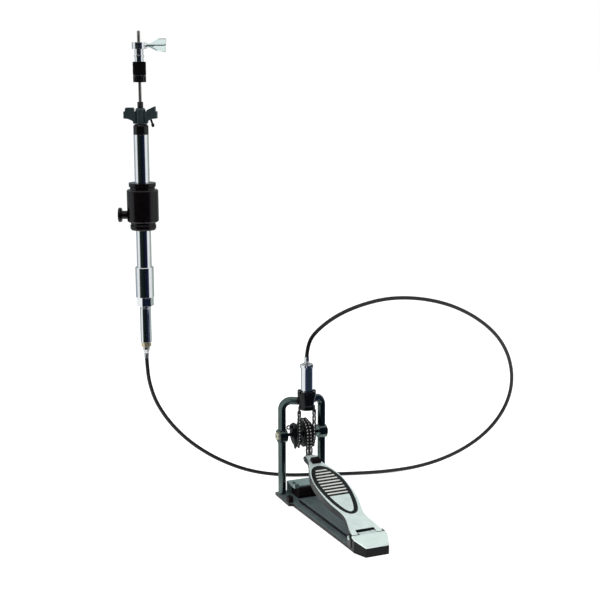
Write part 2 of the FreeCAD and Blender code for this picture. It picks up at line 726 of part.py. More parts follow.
def cable():
    """Straight runs joined by tangent arcs; each arc is as large as its two runs allow."""
    ferrule_tip = Vector(N.pedal_x, N.pedal_y - pull_radius(),
                         barrel_top().number + N.ferrule_rise - N.floor_drop)
    points = [Vector(*point) for point in CABLE_ROUTE]
    points += [ferrule_tip + Vector(*step) for step in CABLE_ENTRY]
    edges = []
    start = points[0]
    smallest = 1e9
    for before, corner, after in zip(points, points[1:], points[2:]):
        back = (before - corner).normalize()
        onward = (after - corner).normalize()
        turn = math.pi - back.getAngle(onward)
        share = 0.45 * min((before - corner).Length, (after - corner).Length)
        radius = share / math.tan(turn / 2)
        smallest = min(smallest, radius)
        enter = corner + back * share
        leave = corner + onward * share
        inward = (back + onward).normalize()
        middle = corner + inward * (radius / math.cos(turn / 2) - radius)
        edges.append(Part.LineSegment(start, enter).toShape())
        edges.append(Part.Arc(enter, middle, leave).toShape())
        start = leave
    edges.append(Part.LineSegment(start, points[-1]).toShape())
    path = Part.Wire(edges)
    section = Part.Wire([Part.makeCircle(N.cable_radius, points[0], points[1] - points[0])])
    tube = path.makePipeShell([section], True, True)
    expected = math.pi * N.cable_radius ** 2 * path.Length
    print("cable: length %.0f, smallest radius %.0f, volume ratio %.4f"
          % (path.Length, smallest, tube.Volume / expected))
    node("cable", feature("cable_tube", tube))


# ---------------------------------------------------------------- pedal: heights tied to the chains
def pull_pin_height():
    """Top pins of the side chains, where they hang on the yoke."""
    return S.axle_height + S.chain_pitch * S.pull_straight


def yoke_foot():
    return pull_pin_height() + S.yoke_leg


def cup_base():
    return yoke_foot() - S.yoke_lift


def arch_height():
    return cup_base() + S.arm_rise


def barrel_top():
    return cup_base() + S.barrel_reach


# ---------------------------------------------------------------- pedal: base and frame
def pedal_base():
    """Tapered steel base with two raised ridges towards the heel."""
    half, waist, heel = S.base_half, S.base_waist, S.base_heel_half
    front = heel_front()
    outline = [(-half, S.base_back), (-half, -S.base_shoulder), (-waist, -S.base_shoulder - 3),
               (-heel, front), (heel, front), (waist, -S.base_shoulder - 3),
               (half, -S.base_shoulder), (half, S.base_back)]
    floor_plate = plate("base_blank", "XY_Plane", outline, S.base_thick)
    parts = [floor_plate]
    for name, sign in (("left", -1), ("right", 1)):
        outer = S.base_waist - 14
        inner = S.base_heel_half - 12
        ridge_end = front + S.ridge_stop
        line = [(outer * sign, -S.base_shoulder), (inner * sign, ridge_end),
                ((inner - S.ridge_width) * sign, ridge_end),
                ((outer - S.ridge_width) * sign, -S.base_shoulder)]
        parts.append(plate("ridge_" + name, "XY_Plane", line, S.base_thick + S.ridge_height))
    pedal_node("base_plate", fused("base", parts))


def heel_front():
    """Front face of the heel block, just behind the hinge's knuckles."""
    return -S.hinge_back - S.knuckle_radius - S.seat_gap


def heel():
    """Black heel block under a sloping silver plate, whose tongue is the hinge's middle knuckle."""
    front = heel_front()
    tip = -S.hinge_back - S.heel_length
    half = S.base_heel_half
    plan = [(-half, front), (-half, tip + S.heel_chamfer), (-S.heel_tip_half, tip),
            (S.heel_tip_half, tip), (half, tip + S.heel_chamfer), (half, front)]
    hinge_top = S.hinge_height + S.knuckle_radius
    low_front = hinge_top - S.heel_plate_thick
    low_tip = S.heel_tip_height - S.heel_plate_thick
    block = common("heel_mass", plate("heel_plan", "XY_Plane", plan, hinge_top),
                   plate("heel_side", "YZ_Plane",
                         [(front, 0), (front, low_front), (tip, low_tip), (tip, 0)],
                         half * 2 + 2, midplane=True))
    pedal_node("heel_block", block)
    slab = common("heel_slab", plate("heel_slab_plan", "XY_Plane", plan, hinge_top + 2),
                  plate("heel_slab_side", "YZ_Plane",
                        [(front, low_front), (front, hinge_top), (tip, S.heel_tip_height),
                         (tip, low_tip)], half * 2 + 2, midplane=True))
    tongue = cylinder("tongue", S.knuckle_radius, S.knuckle_half * 2,
                      at=(-S.knuckle_half, -S.hinge_back, S.hinge_height), direction=ACROSS)
    bridge = box("tongue_bridge", (S.knuckle_half * 2, S.knuckle_radius + 2, S.heel_plate_thick),
                 (-S.knuckle_half, front - 1.5, low_front))
    pin_hole = cylinder("tongue_hole", S.hinge_pin_radius + S.run_fit, S.knuckle_half * 2 + 2,
                        at=(-S.knuckle_half - 1, -S.hinge_back, S.hinge_height), direction=ACROSS)
    pedal_node("heel_plate", cut("heel_top", fused("heel_form", [slab, tongue, bridge]), [pin_hole]))
    ears = []
    for name, sign in (("left", -1), ("right", 1)):
        low = S.hinge_half + S.seat_gap if sign > 0 else -S.hinge_half - S.seat_gap - 4
        cheek = plate("ear_" + name, "YZ_Plane",
                      [(-S.hinge_back + 8, S.base_thick), (-S.hinge_back + 6, S.hinge_height + 5),
                       (-S.hinge_back - 5, S.hinge_height + 5), (front, S.hinge_height),
                       (front, S.base_thick)], 4)
        ears.append(move(cheek, (low, 0, 0)))
    holes = cylinder("ear_holes", S.hinge_pin_radius + S.run_fit / 2, S.hinge_half * 2 + 20,
                     at=(-S.hinge_half - 10, -S.hinge_back, S.hinge_height), direction=ACROSS)
    pedal_node("hinge_ears", cut("ears", fused("ear_pair", ears), [holes]))
    reach = S.hinge_half + S.seat_gap + 4
    shank = cylinder("hinge_shank", S.hinge_pin_radius, reach * 2,
                     at=(-reach, -S.hinge_back, S.hinge_height), direction=ACROSS)
    head = cylinder("hinge_head", S.hinge_pin_radius + 1.6, 1.4,
                    at=(-reach - 1.4, -S.hinge_back, S.hinge_height), direction=ACROSS)
    pedal_node("hinge_pin", fused("heel_pin", [shank, head]))


def boss_reach():
    """Where the cup's bosses end and the posts' arms begin, from the cup's axis."""
    return S.cup_radius + S.seat_gap


def arch_arm(sign):
    """One post, bent over at the top and run in to the side of the cable cup."""
    post = Vector(sign * N.post_half, 0, N.base_thick)
    cup = Vector(0, -pull_radius(), 0)
    inward = Vector(cup.x - post.x, cup.y - post.y, 0)
    length = inward.Length
    inward.normalize()
    bend = N.arch_bend
    corner = Vector(post.x, post.y, arch_height().number)
    below = corner - UP * bend
    beyond = corner + inward * bend
    diagonal = (inward - UP).normalize()
    middle = corner + diagonal * (bend * (math.sqrt(2) - 1))
    end = corner + inward * (length - boss_reach().number)
    path = Part.Wire([Part.LineSegment(post, below).toShape(), Part.Arc(below, middle, beyond).toShape(),
                      Part.LineSegment(beyond, end).toShape()])
    section = Part.Wire([Part.makeCircle(N.post_radius, post, UP)])
    arm = path.makePipeShell([section], True, True)
    at = Vector(post.x - N.housing_disc_half, 0, N.axle_height)
    bearing_boss = Part.makeCylinder(N.housing_disc_radius, 2 * N.housing_disc_half, at, ACROSS)
    bore = Part.makeCylinder(N.axle_radius + 0.8, 2 * N.housing_disc_half, at, ACROSS)
    inner_face = Vector(post.x - sign * N.housing_disc_half, 0, N.axle_height)
    pocket = Part.makeCylinder(N.bearing_radius + N.run_fit / 2, N.bearing_thick,
                               inner_face, Vector(sign, 0, 0))
    return arm.fuse(bearing_boss).cut(bore).cut(pocket)


def pull_step():
    """Turn of a side wheel that takes up one link, in degrees."""
    return 360 / N.pull_teeth


def pull_radius():
    """Pitch radius of a side wheel."""
    return N.chain_pitch / 2 / math.sin(math.radians(pull_step() / 2))


def drive_radius():
    return N.chain_pitch / 2 / math.sin(math.radians(180 / N.drive_teeth))


def pedal_frame():
    for name, sign in (("left", -1), ("right", 1)):
        arm = feature("arm_" + name, arch_arm(sign))
        pedal_node(name + "_post", arm)
    rings = []
    caps = []
    for name, sign in (("left", -1), ("right", 1)):
        face = (S.post_half - S.housing_disc_half) * sign
        out = Vector(sign, 0, 0)
        ring = cylinder("race_" + name, S.bearing_radius, S.bearing_thick,
                        at=(face, 0, S.axle_height), direction=out)
        hole = cylinder("race_hole_" + name, S.axle_radius + S.run_fit, S.bearing_thick,
                        at=(face, 0, S.axle_height), direction=out)
        rings.append(cut("bearing_" + name, ring, [hole]))
        outer = (S.post_half + S.housing_disc_half) * sign
        neck = cylinder("cap_neck_" + name, S.axle_radius + 0.6, 6,
                        at=(outer - 6 * sign, 0, S.axle_height), direction=out)
        head = cylinder("cap_head_" + name, S.cap_radius, 4, at=(outer, 0, S.axle_height), direction=out)
        lobes = []
        for index in range(6):
            angle = math.radians(60 * index)
            spot = (outer, (S.cap_radius + 0.6) * math.cos(angle),
                    S.axle_height + (S.cap_radius + 0.6) * math.sin(angle))
            lobes.append(cylinder("cap_lobe_%s_%d" % (name, index), 2.2, 4, at=spot, direction=out))
        caps.append(cut("cap_" + name, fused("cap_blank_" + name, [neck, head]), lobes))
    pedal_node("axle_bearings", fused("bearings", rings))
    pedal_node("bearing_caps", fused("caps", caps))


def cross_bracket():
    """Bent steel cross-member between the posts with a slot at its left end, over a rubber block."""
    side = S.post_half - S.post_radius - 1
    thick = S.bracket_thick
    high = S.bracket_height
    foot = S.base_thick
    points = [(0, foot), (0, high), (-S.bracket_depth, high), (-S.bracket_depth, high - thick),
              (-thick, high - thick), (-thick, foot)]
    channel = plate("bracket_blank", "YZ_Plane", [(y - S.bracket_back, z) for y, z in points],
                    side * 2, midplane=True)
    slot = box("bracket_slot", (S.slot_width, S.slot_width * 2.4, thick * 2),
               (-side + S.slot_width, -S.bracket_depth * 0.7, high - thick * 1.5))
    lip = box("bracket_lip", (S.lip_width, thick, thick + S.lip_rise),
              (-side, -S.bracket_back - S.bracket_depth - thick, high - thick))
    pedal_node("cross_bracket", fused("bracket_form", [cut("bracket", channel, [slot]), lip]))
    back = -S.bracket_back - thick - 2 * S.seat_gap
    front = -S.bracket_back - S.bracket_depth - S.slot_width / 2
    under = high - thick
    block = plate("block_blank", "YZ_Plane",
                  [(back, foot), (back, under), (front + 3, under), (front, under - 3),
                   (front, foot + 5), (front + 3, foot)], S.block_half * 2, midplane=True)
    feet = [block]
    for name, sign in (("left", -1), ("right", 1)):
        corner = -S.base_half + 1 if sign < 0 else S.base_half - S.pad_width - 1
        feet.append(box("foot_" + name, (S.pad_width, S.pad_width * 1.4, S.pad_rise),
                        (corner, -S.base_shoulder + 1, foot)))
    pedal_node("rubber_blocks", fused("rubbers", feet))


def cable_cup():
    """Cast holder with a castellated rim; the posts' arms meet its side bosses."""
    top = cup_base() + S.cup_height
    ring_top = cup_base() + S.cup_ring_height
    shelf = top - S.crown_depth
    points = [(S.cup_bore + S.run_fit, cup_base()), (S.cup_ring_radius, cup_base()),
              (S.cup_ring_radius, ring_top - 1.5), (S.cup_waist_radius, ring_top),
              (S.cup_radius, shelf - 3), (S.cup_radius, top),
              (S.barrel_flare_radius + 0.6, top), (S.barrel_flare_radius + 0.6, shelf),
              (S.cup_bore + S.run_fit, shelf)]
    cup = turned("cup_casting", points)
    bosses = []
    pull = pull_radius()
    for name, sign in (("left", -1), ("right", 1)):
        out = Vector(sign * N.post_half, pull, 0).normalize()
        start = (S.cup_bore + 3)
        bosses.append(cylinder("boss_" + name, S.post_radius, boss_reach() - start,
                               at=(out.x * start, out.y * start, arch_height()), direction=out))
    notches = []
    for index in range(int(N.crown_teeth)):
        angle = 360 / N.crown_teeth * (index + 0.5)
        notch = box("crown_notch_%d" % index, (9, 4.4, S.crown_depth + 1), (0, 0, 0))
        turn = FreeCAD.Rotation(UP, angle)
        notch.Placement = FreeCAD.Placement(Vector(), turn)
        lever = turn.multVec(Vector(1, 0, 0))
        aside = turn.multVec(Vector(0, -2.2, 0))
        move(notch, (lever.x * (S.cup_radius - 5) + aside.x, lever.y * (S.cup_radius - 5) + aside.y,
                     top - S.crown_depth * 0.7))
        notches.append(notch)
    slot = box("yoke_slot", (S.cup_ring_radius * 2 + 2, 8, S.cup_ring_height),
               (-S.cup_ring_radius - 1, -4, cup_base() - 1))
    solid = cut("cup", fused("cup_block", [cup] + bosses), notches + [slot])
    pedal_node("cable_cup", solid, at=(0, -pull, 0))


def cable_barrel():
    """Chrome adjuster that screws into the cup, the ferrule on it, and the inner wire's yoke."""
    pull = pull_radius()
    shelf = cup_base() + S.cup_height - S.crown_depth + S.seat_gap
    flare = barrel_top() - S.barrel_flare
    bore = S.wire_radius + 1
    mouth = S.ferrule_shank - 0.8 + S.run_fit
    points = [(bore, shelf - S.barrel_shank), (S.cup_bore, shelf - S.barrel_shank),
              (S.cup_bore, shelf), (S.barrel_radius, shelf), (S.barrel_radius, flare),
              (S.barrel_flare_radius, flare + 4), (S.barrel_flare_radius, barrel_top()),
              (mouth, barrel_top()), (mouth, barrel_top() - 9), (bore, barrel_top() - 9)]
    body = turned("barrel_body", points)
    notches = []
    for index in range(6):
        angle = math.radians(60 * index)
        place = (S.barrel_flare_radius * math.cos(angle), S.barrel_flare_radius * math.sin(angle),
                 barrel_top() - 5)
        notches.append(cylinder("barrel_notch_%d" % index, 2.6, 6, at=place))
    pedal_node("adjuster_barrel", cut("barrel", body, notches), at=(0, -pull, 0))
    tip = barrel_top() + S.ferrule_rise
    shank = S.ferrule_shank - 0.8
    points = [(S.wire_radius + 0.3, barrel_top() - 8), (shank, barrel_top() - 8),
              (shank, barrel_top() + S.seat_gap), (5.6, barrel_top() + S.seat_gap),
              (5.6, barrel_top() + 4), (S.ferrule_tip_radius, barrel_top() + 5.5),
              (S.ferrule_tip_radius, tip), (S.wire_radius + 0.3, tip)]
    pedal_node("lower_ferrule", turned("ferrule_b", points), at=(0, -pull, 0))
    bar_low = yoke_foot()
    wire = turned("wire_b", ring_rod(S.wire_radius - 0.02, bar_low + 7, tip - 2))
    pedal_node("lower_inner_wire", wire, at=(0, -pull, 0))
    pin_height = pull_pin_height()
    bar = box("yoke_bar", (S.side_chain_out * 2 + S.roller_width - 0.6, 6, 5.2),
              (-S.side_chain_out - S.roller_width / 2 + 0.3, -3, bar_low))
    nipple = cylinder("yoke_nipple", 3.4, 1.8, at=(0, 0, bar_low + 5.2))
    legs = []
    for name, sign in (("left", -1), ("right", 1)):
        corner = S.side_chain_out * sign - S.roller_width / 2 + 0.3
        legs.append(box("yoke_leg_" + name, (S.roller_width - 0.6, 6, bar_low - pin_height + 3),
                        (corner, -3, pin_height - 3)))
    holes = cylinder("yoke_holes", S.pin_radius + S.run_fit / 2, S.side_chain_out * 2 + 10,
                     at=(-S.side_chain_out - 5, 0, pin_height), direction=ACROSS)
    pedal_node("wire_yoke", cut("yoke", fused("yoke_block", [bar, nipple] + legs), [holes]),
               at=(0, -pull, 0))


# ---------------------------------------------------------------- pedal: wheels
def wheels():
    """Axle, double-toothed drive wheel, and the two side wheels with their forks."""
    reach = S.post_half + S.housing_disc_half - 7
    axle_body = cylinder("axle_shaft", S.axle_radius, reach * 2, direction=ACROSS)
    pedal_node("axle", axle_body, at=(-reach, 0, S.axle_height))
    root = drive_radius() - N.roller_radius - 0.1
    face = N.strand_pitch + N.plate_gap
    drum = Part.makeCylinder(root - 1.7, 2 * face, Vector(-face, 0, 0), ACROSS)
    for sign in (-1, 1):
        ring_at = sign * N.strand_pitch / 2 - 1
        ring = Part.makeCylinder(root, 2, Vector(ring_at, 0, 0), ACROSS)
        teeth = [tooth(root, 360 / N.drive_teeth * (index + 0.5), ring_at, 2)
                 for index in range(int(N.drive_teeth))]
        drum = drum.fuse([ring] + teeth)
    holes = [Part.makeCylinder(4.6, 60, around(15, 72 * index, -30), ACROSS) for index in range(5)]
    bore = Part.makeCylinder(N.axle_radius, 60, Vector(-30, 0, 0), ACROSS)
    drum = drum.cut(holes + [bore])
    pedal_node("drive_wheel", feature("sprocket", drum), at=(S.drive_out, 0, S.axle_height))
    discs = [side_wheel(sign) for sign in (-1, 1)]
    pedal_node("side_wheels", feature("side_discs", Part.makeCompound(discs)), at=(0, 0, S.axle_height))


def around(radius, angle, x):
    """A point about the axle: 0 degrees faces the heel, 90 is the top."""
    angle = math.radians(angle)
    return Vector(x, -radius * math.cos(angle), radius * math.sin(angle))


def tooth(root, angle, x, width):
    """Low tooth between two rollers."""
    half = 1.1
    step = math.degrees(half / root)
    corners = [around(root - 1, angle - step * 1.4, x), around(root + 1.7, angle - step * 0.5, x),
               around(root + 1.7, angle + step * 0.5, x), around(root - 1, angle + step * 1.4, x)]
    return Part.Face(Part.makePolygon(corners + corners[:1])).extrude(Vector(width, 0, 0))


def side_wheel(sign):
    """Side wheel: narrow roller track on a disc, hub, and the fork that holds the chain's end."""
    middle = sign * N.side_chain_out
    track_radius = pull_radius() - N.roller_radius - 0.1
    inner_width = N.roller_width - 0.6
    track = Part.makeCylinder(track_radius, inner_width, Vector(middle - inner_width / 2, 0, 0), ACROSS)
    hub_half = N.side_disc_thick / 2
    hub = Part.makeCylinder(11, 2 * hub_half, Vector(middle - hub_half, 0, 0), ACROSS)
    angle = -pull_step() * N.pull_wrapped
    end = around(pull_radius(), angle, 0)
    cheeks = []
    for side in (-1, 1):
        gap = N.roller_width / 2 + 2 * N.plate_thick + N.plate_gap + 0.2
        x = middle + side * gap - (N.fork_thick if side < 0 else 0)
        arm = stadium(Vector(x, 0, 0), Vector(x, end.y, end.z), N.fork_radius, N.fork_thick)
        cheeks.append(arm)
        hub_reach = Part.makeCylinder(8, gap + N.fork_thick, Vector(middle, 0, 0), Vector(side, 0, 0))
        cheeks.append(hub_reach)
    pin_half = N.roller_width / 2 + 2 * N.plate_thick + N.plate_gap + 1.7
    pin = Part.makeCylinder(N.pin_radius, 2 * pin_half, Vector(middle - pin_half, end.y, end.z), ACROSS)
    solid = track.fuse([hub] + cheeks + [pin])
    return solid.cut(Part.makeCylinder(N.axle_radius, 60, Vector(-30, 0, 0), ACROSS))


def hub_clamp():
    """Arm on the axle beside the left side wheel, with its looped screw."""
    wheel_face = S.side_chain_out + S.roller_width / 2 + S.plate_thick * 2 + S.plate_gap + 1.7
    x = -(wheel_face + S.seat_gap + S.loop_arm_thick).number
    height = N.loop_arm_reach
    thick = N.loop_arm_thick
    arm = stadium(Vector(x, 0, 0), Vector(x, 0, height), 6.5, thick)
    hole = Part.makeCylinder(N.axle_radius, thick, Vector(x, 0, 0), ACROSS)
    tap = Part.makeCylinder(2 + N.run_fit, thick, Vector(x, 0, height), ACROSS)
    pedal_node("hub_collar", feature("loop_arm", arm.cut([hole, tap])), at=(0, 0, S.axle_height))
    loop_middle = -(N.loop_radius + N.loop_wire + 0.4)
    shank = cylinder("loop_shank", 2, thick - loop_middle - N.loop_radius,
                     at=(loop_middle + N.loop_radius, 0, 0), direction=ACROSS)
    loop = doc.addObject("Part::Torus", "loop")
    direct(loop, Vector(0, 1, 0))
    bind(loop, "Radius1", S.loop_radius)
    bind(loop, "Radius2", S.loop_wire)
    move(loop, (loop_middle, 0, 0))
    pedal_node("hub_loop_screw", fused("loop_screw", [shank, loop]),
               at=(x, 0, S.axle_height + S.loop_arm_reach))


# ---------------------------------------------------------------- pedal: chains
def stadium(start, end, radius, thick):
    """Flat bar with round ends between two points of a plane square to X."""
    along = (end - start).normalize()
    side = Vector(0, -along.z, along.y) * radius
    first = Part.LineSegment(start + side, end + side).toShape()
    far = Part.Arc(end + side, end + along * radius, end - side).toShape()
    second = Part.LineSegment(end - side, start - side).toShape()
    near = Part.Arc(start - side, start - along * radius, start + side).toShape()
    return Part.Face(Part.Wire([first, far, second, near])).extrude(Vector(thick, 0, 0))


def link(start, end, outer, first_pin=True, last_pin=True):
    """One chain link between two pin points: outer plates with pins, or inner with rollers."""
    plate_radius = N.plate_height / 2
    half = N.roller_width / 2
    if outer:
        half += N.plate_thick + N.plate_gap
    plates = [stadium(Vector(start.x + x, start.y, start.z), Vector(end.x + x, end.y, end.z),
                      plate_radius, N.plate_thick) for x in (-half - N.plate_thick, half)]
    joints = []
    bores = []
    for point, wanted in ((start, first_pin), (end, last_pin)):
        low = Vector(point.x - half - 0.1, point.y, point.z)
        if outer and wanted:
            joints.append(Part.makeCylinder(N.pin_radius, 2 * half + 0.2, low, ACROSS))
            continue
        if not outer:
            joints.append(Part.makeCylinder(N.roller_radius, 2 * half + 0.2, low, ACROSS))
        deep = Vector(point.x - half - 3, point.y, point.z)
        bores.append(Part.makeCylinder(N.pin_radius + N.run_fit, 2 * half + 6, deep, ACROSS))
    solid = Part.makeCompound(plates).fuse(joints) if joints else Part.makeCompound(plates)
    return solid.cut(bores) if bores else solid


def chain_points(radius, angles, x):
    return [around(radius, angle, x) for angle in angles]


def strands(point):
    """The same pin point on each of the two drive strands."""
    return [Vector(N.drive_out + sign * N.strand_pitch / 2, point.y, point.z) for sign in (-1, 1)]


def drive_chain():
    """Double chain: the links held on the wheel, the links that leave it, and the straight run."""
    step = 360 / N.drive_teeth
    pay_out = int(N.drive_pay_out)
    kept = int(N.drive_held)
    pins = chain_points(drive_radius(), [step * index for index in range(pay_out + kept + 1)], 0)
    held = [link(start, end, index % 2 == 1) for index in range(kept)
            for start, end in zip(strands(pins[pay_out + index + 1]), strands(pins[pay_out + index]))]
    pedal_node("drive_chain_held", feature("chain_held", Part.makeCompound(held)),
               at=(0, 0, S.axle_height))
    for index in range(pay_out, 0, -1):
        number = pay_out - index + 1
        outer = number % 2 == 1
        pair = [link(start, end, outer) for start, end in
                zip(strands(pins[index]), strands(pins[index - 1]))]
        pedal_node("drive_chain_link_%d" % number, feature("drive_link_%d" % number,
                                                           Part.makeCompound(pair)),
                   at=(0, 0, S.axle_height))
    run = []
    count = int(N.run_links)
    for index in range(count):
        high = Vector(0, -drive_radius(), -N.chain_pitch * index)
        low = Vector(0, -drive_radius(), -N.chain_pitch * (index + 1))
        outer = (pay_out + index) % 2 == 0
        for start, end in zip(strands(high), strands(low)):
            run.append(link(start, end, outer, first_pin=index > 0, last_pin=index + 1 < count))
    joined = [run[side].fuse([run[2 * index + side] for index in range(1, count)]) for side in (0, 1)]
    pedal_node("drive_chain_run", feature("chain_run", Part.makeCompound(joined)),
               at=(0, 0, S.axle_height))


def pull_chains():
    """Side chains: links held on the side wheels, links that they take up, and the run above."""
    step = pull_step()
    radius = pull_radius()
    held, runs = [], []
    wrapped = int(N.pull_wrapped)
    taken = int(N.pull_take_up)
    straight = int(N.pull_straight)
    moving = [[] for _ in range(taken)]
    for sign in (-1, 1):
        x = sign * N.side_chain_out
        pins = chain_points(radius, [-step * index for index in range(wrapped + 1)], x)
        pieces = [link(start, end, (straight + index) % 2 == 0, last_pin=index + 1 < wrapped)
                  for index, (start, end) in enumerate(zip(pins, pins[1:]))]
        held.append(pieces[0].fuse(pieces[1:]))
        rise = [Vector(x, -radius, N.chain_pitch * index) for index in range(straight + 1)]
        for index in range(taken):
            moving[index].append(link(rise[index], rise[index + 1], (straight - index) % 2 == 1,
                                      last_pin=index + 1 < taken))
        upper = [link(rise[index], rise[index + 1], (straight - index) % 2 == 1,
                      first_pin=index > taken) for index in range(taken, straight)]
        runs.append(upper[0].fuse(upper[1:]))
    pedal_node("pull_chains_held", feature("pull_held", Part.makeCompound(held)), at=(0, 0, S.axle_height))
    for index, pair in enumerate(moving, start=1):
        pedal_node("pull_chain_links_%d" % index, feature("pull_link_%d" % index,
                                                          Part.makeCompound(pair)),
                   at=(0, 0, S.axle_height))
    pedal_node("pull_chain_runs", feature("pull_runs", Part.makeCompound(runs)), at=(0, 0, S.axle_height))


# ---------------------------------------------------------------- pedal: footboard
# Shares of the board's length and of its half width.
BOARD_SHAPE = ((0, 0.94), (0.06, 0.875), (0.2, 0.64), (0.335, 0.845), (0.475, 1), (0.63, 1),
               (0.765, 0.82), (0.865, 0.52), (0.93, 0.36), (1, 0.33))
OVAL_SHAPE = ((0.222, 0), (0.236, 0.28), (0.285, 0.53), (0.395, 0.78), (0.53, 0.93), (0.665, 0.91),
              (0.77, 0.7), (0.83, 0.4), (0.85, 0))


def sized(shape):
    return [(share * N.board_length, half * N.board_half) for share, half in shape]


def closed_outline(shape, inset, height):
    """Symmetrical outline through half widths, drawn in by an inset."""
    right = [Vector(half - inset, along, height) for along, half in shape]
    left = [Vector(-point.x, point.y, height) for point in right]
    curves = []
    for points in (right, left):
        curve = Part.BSplineCurve()
        curve.interpolate(points)
        curves.append(curve.toShape())
    foot = Part.LineSegment(left[0], right[0]).toShape()
    head = Part.LineSegment(right[-1], left[-1]).toShape()
    return Part.Face(Part.Wire([curves[0], head, curves[1], foot]))


def oval(inset, height):
    """Egg-shaped field of the footboard, drawn in by an inset."""
    right = [Vector(half, along, height) for along, half in sized(OVAL_SHAPE)]
    left = [Vector(-point.x, point.y, height) for point in reversed(right[1:-1])]
    ring = right + left
    drawn_in = []
    for index, point in enumerate(ring):
        along = (ring[(index + 1) % len(ring)] - ring[index - 1]).normalize()
        drawn_in.append(point + Vector(-along.y, along.x, 0) * inset)
    curve = Part.BSplineCurve()
    curve.interpolate(drawn_in, PeriodicFlag=True)
    return Part.Face(Part.Wire([curve.toShape()]))


def inset_shape(top):
    """Black field: the egg less its silver panel and ribs."""
    depth = N.inset_depth
    field = oval(0, top - depth).extrude(UP * depth)
    core = oval(N.ring_width, top - depth).extrude(UP * depth)
    start = sized(OVAL_SHAPE)[0][0]
    wide = 2 * N.board_half
    bars = [(start, N.panel_length)]
    for index in range(int(N.rib_count)):
        bars.append((start + N.panel_length + N.rib_pitch * (index + 1) - N.rib_width, N.rib_width))
    keep = [core.common(Part.makeBox(wide, length, depth, Vector(-wide / 2, along, top - depth)))
            for along, length in bars]
    return field.cut(keep)


def board_side(top):
    """Side view of the board: thin at heel and toe, deepest skirt in the middle."""
    low = top - N.board_skirt
    length = N.board_length
    corners = [(0, top), (length, top), (length, top - 6), (0.91 * length, top - 9),
               (0.76 * length, low), (0.42 * length, low), (0.19 * length, top - 10.5),
               (0.055 * length, top - 7), (0.02 * length, top - N.board_thick), (0, top - N.board_thick)]
    wide = 2 * N.board_half
    points = [Vector(-wide, y, z) for y, z in corners]
    return Part.Face(Part.makePolygon(points + points[:1])).extrude(Vector(2 * wide, 0, 0))


def toe_gap():
    """Half the gap between the toe's ears, which holds the double chain."""
    return N.strand_pitch / 2 + N.roller_width / 2 + 2 * N.plate_thick + N.plate_gap + 0.5


def toe_ears(top):
    """Two cheeks under the toe that carry the chain's pin, and the web that joins them."""
    toe_length, toe_height = toe_pin_place()
    gap = toe_gap()
    thick = N.ear_thick
    root = N.board_length - N.ear_root
    parts = []
    for sign in (-1, 1):
        x = N.drive_out + sign * gap - (thick if sign < 0 else 0)
        corners = [(root, top - 1), (root, toe_height - N.ear_radius + 3), (toe_length, toe_height - N.ear_radius),
                   (toe_length, toe_height + N.ear_radius), (N.board_length, top - 2),
                   (N.board_length - 2, top - 1)]
        points = [Vector(x, y, z) for y, z in corners]
        parts.append(Part.Face(Part.makePolygon(points + points[:1])).extrude(Vector(thick, 0, 0)))
        parts.append(Part.makeCylinder(N.ear_radius, thick, Vector(x, toe_length, toe_height), ACROSS))
    web = Part.makeBox(2 * gap + 2 * thick, N.ear_root - 6, top - toe_height,
                       Vector(N.drive_out - gap - thick, root, toe_height - 1))
    return parts + [web]


def knuckles():
    """Heel knuckles of the board, one each side of the heel plate's tongue."""
    low = N.knuckle_half + N.seat_gap
    return [Part.makeCylinder(N.knuckle_radius, N.hinge_half - low,
                              Vector(low if sign > 0 else -N.hinge_half, 0, 0), ACROSS)
            for sign in (-1, 1)]


def footboard():
    """Cast board: edge skirt, hollow back, ribbed field, heel knuckles and toe ears."""
    top = N.knuckle_radius
    depth = N.board_skirt + 1
    outline = sized(BOARD_SHAPE)
    block = closed_outline(outline, 0, top - depth).extrude(UP * depth)
    shell = block.common(board_side(top))
    hollow_shape = [point for point in outline if 0.05 < point[0] / N.board_length < 0.9]
    hollow = closed_outline(hollow_shape, N.board_wall, top - depth).extrude(
        UP * (depth - N.board_thick))
    shell = shell.cut(hollow)
    toe_length, toe_height = toe_pin_place()
    solid = shell.fuse(toe_ears(top) + knuckles())
    clear = N.seat_gap
    notch = Part.makeBox(2 * (N.knuckle_half + clear), N.knuckle_radius + N.hinge_notch + 10, 30,
                         Vector(-N.knuckle_half - clear, -10, -15))
    pin_hole = Part.makeCylinder(N.hinge_pin_radius + N.run_fit, 100, Vector(-50, 0, 0), ACROSS)
    toe_hole = Part.makeCylinder(N.pin_radius + N.run_fit / 3, 60, Vector(-30, toe_length, toe_height), ACROSS)
    solid = solid.cut([notch, pin_hole, toe_hole, inset_shape(top)])
    board_node("footboard", solid)
    board_node("footboard_field", inset_shape(top))
    half = toe_gap() + N.ear_thick
    pin = Part.makeCylinder(N.pin_radius, 2 * half, Vector(N.drive_out - half, toe_length, toe_height), ACROSS)
    board_node("toe_pin", pin)
    wide = N.toe_block_half
    block = Part.makeBox(2 * wide, N.toe_block_length, 7,
                         Vector(N.toe_block_out - wide, N.board_length - N.toe_block_back, top))
    edges = [edge for edge in block.Edges if edge.BoundBox.ZMax > top + 0.1]
    board_node("toe_block", block.makeFillet(3, edges))


def toe_reach():
    """How far the toe pin lies in front of and above the hinge, so that the chain hangs straight."""
    across = N.hinge_back - drive_radius()
    rise = N.axle_height - N.chain_pitch * N.run_links - N.hinge_height
    return across, rise


def board_slope():
    """Slope of the board at rest, in degrees, set by the toe pin's place."""
    across, rise = toe_reach()
    return math.degrees(math.atan2(rise, across) + math.asin(N.toe_drop / math.hypot(across, rise)))


def toe_pin_place():
    """The toe pin seen in the board's own frame."""
    across, rise = toe_reach()
    return math.sqrt(across ** 2 + rise ** 2 - N.toe_drop ** 2), -N.toe_drop


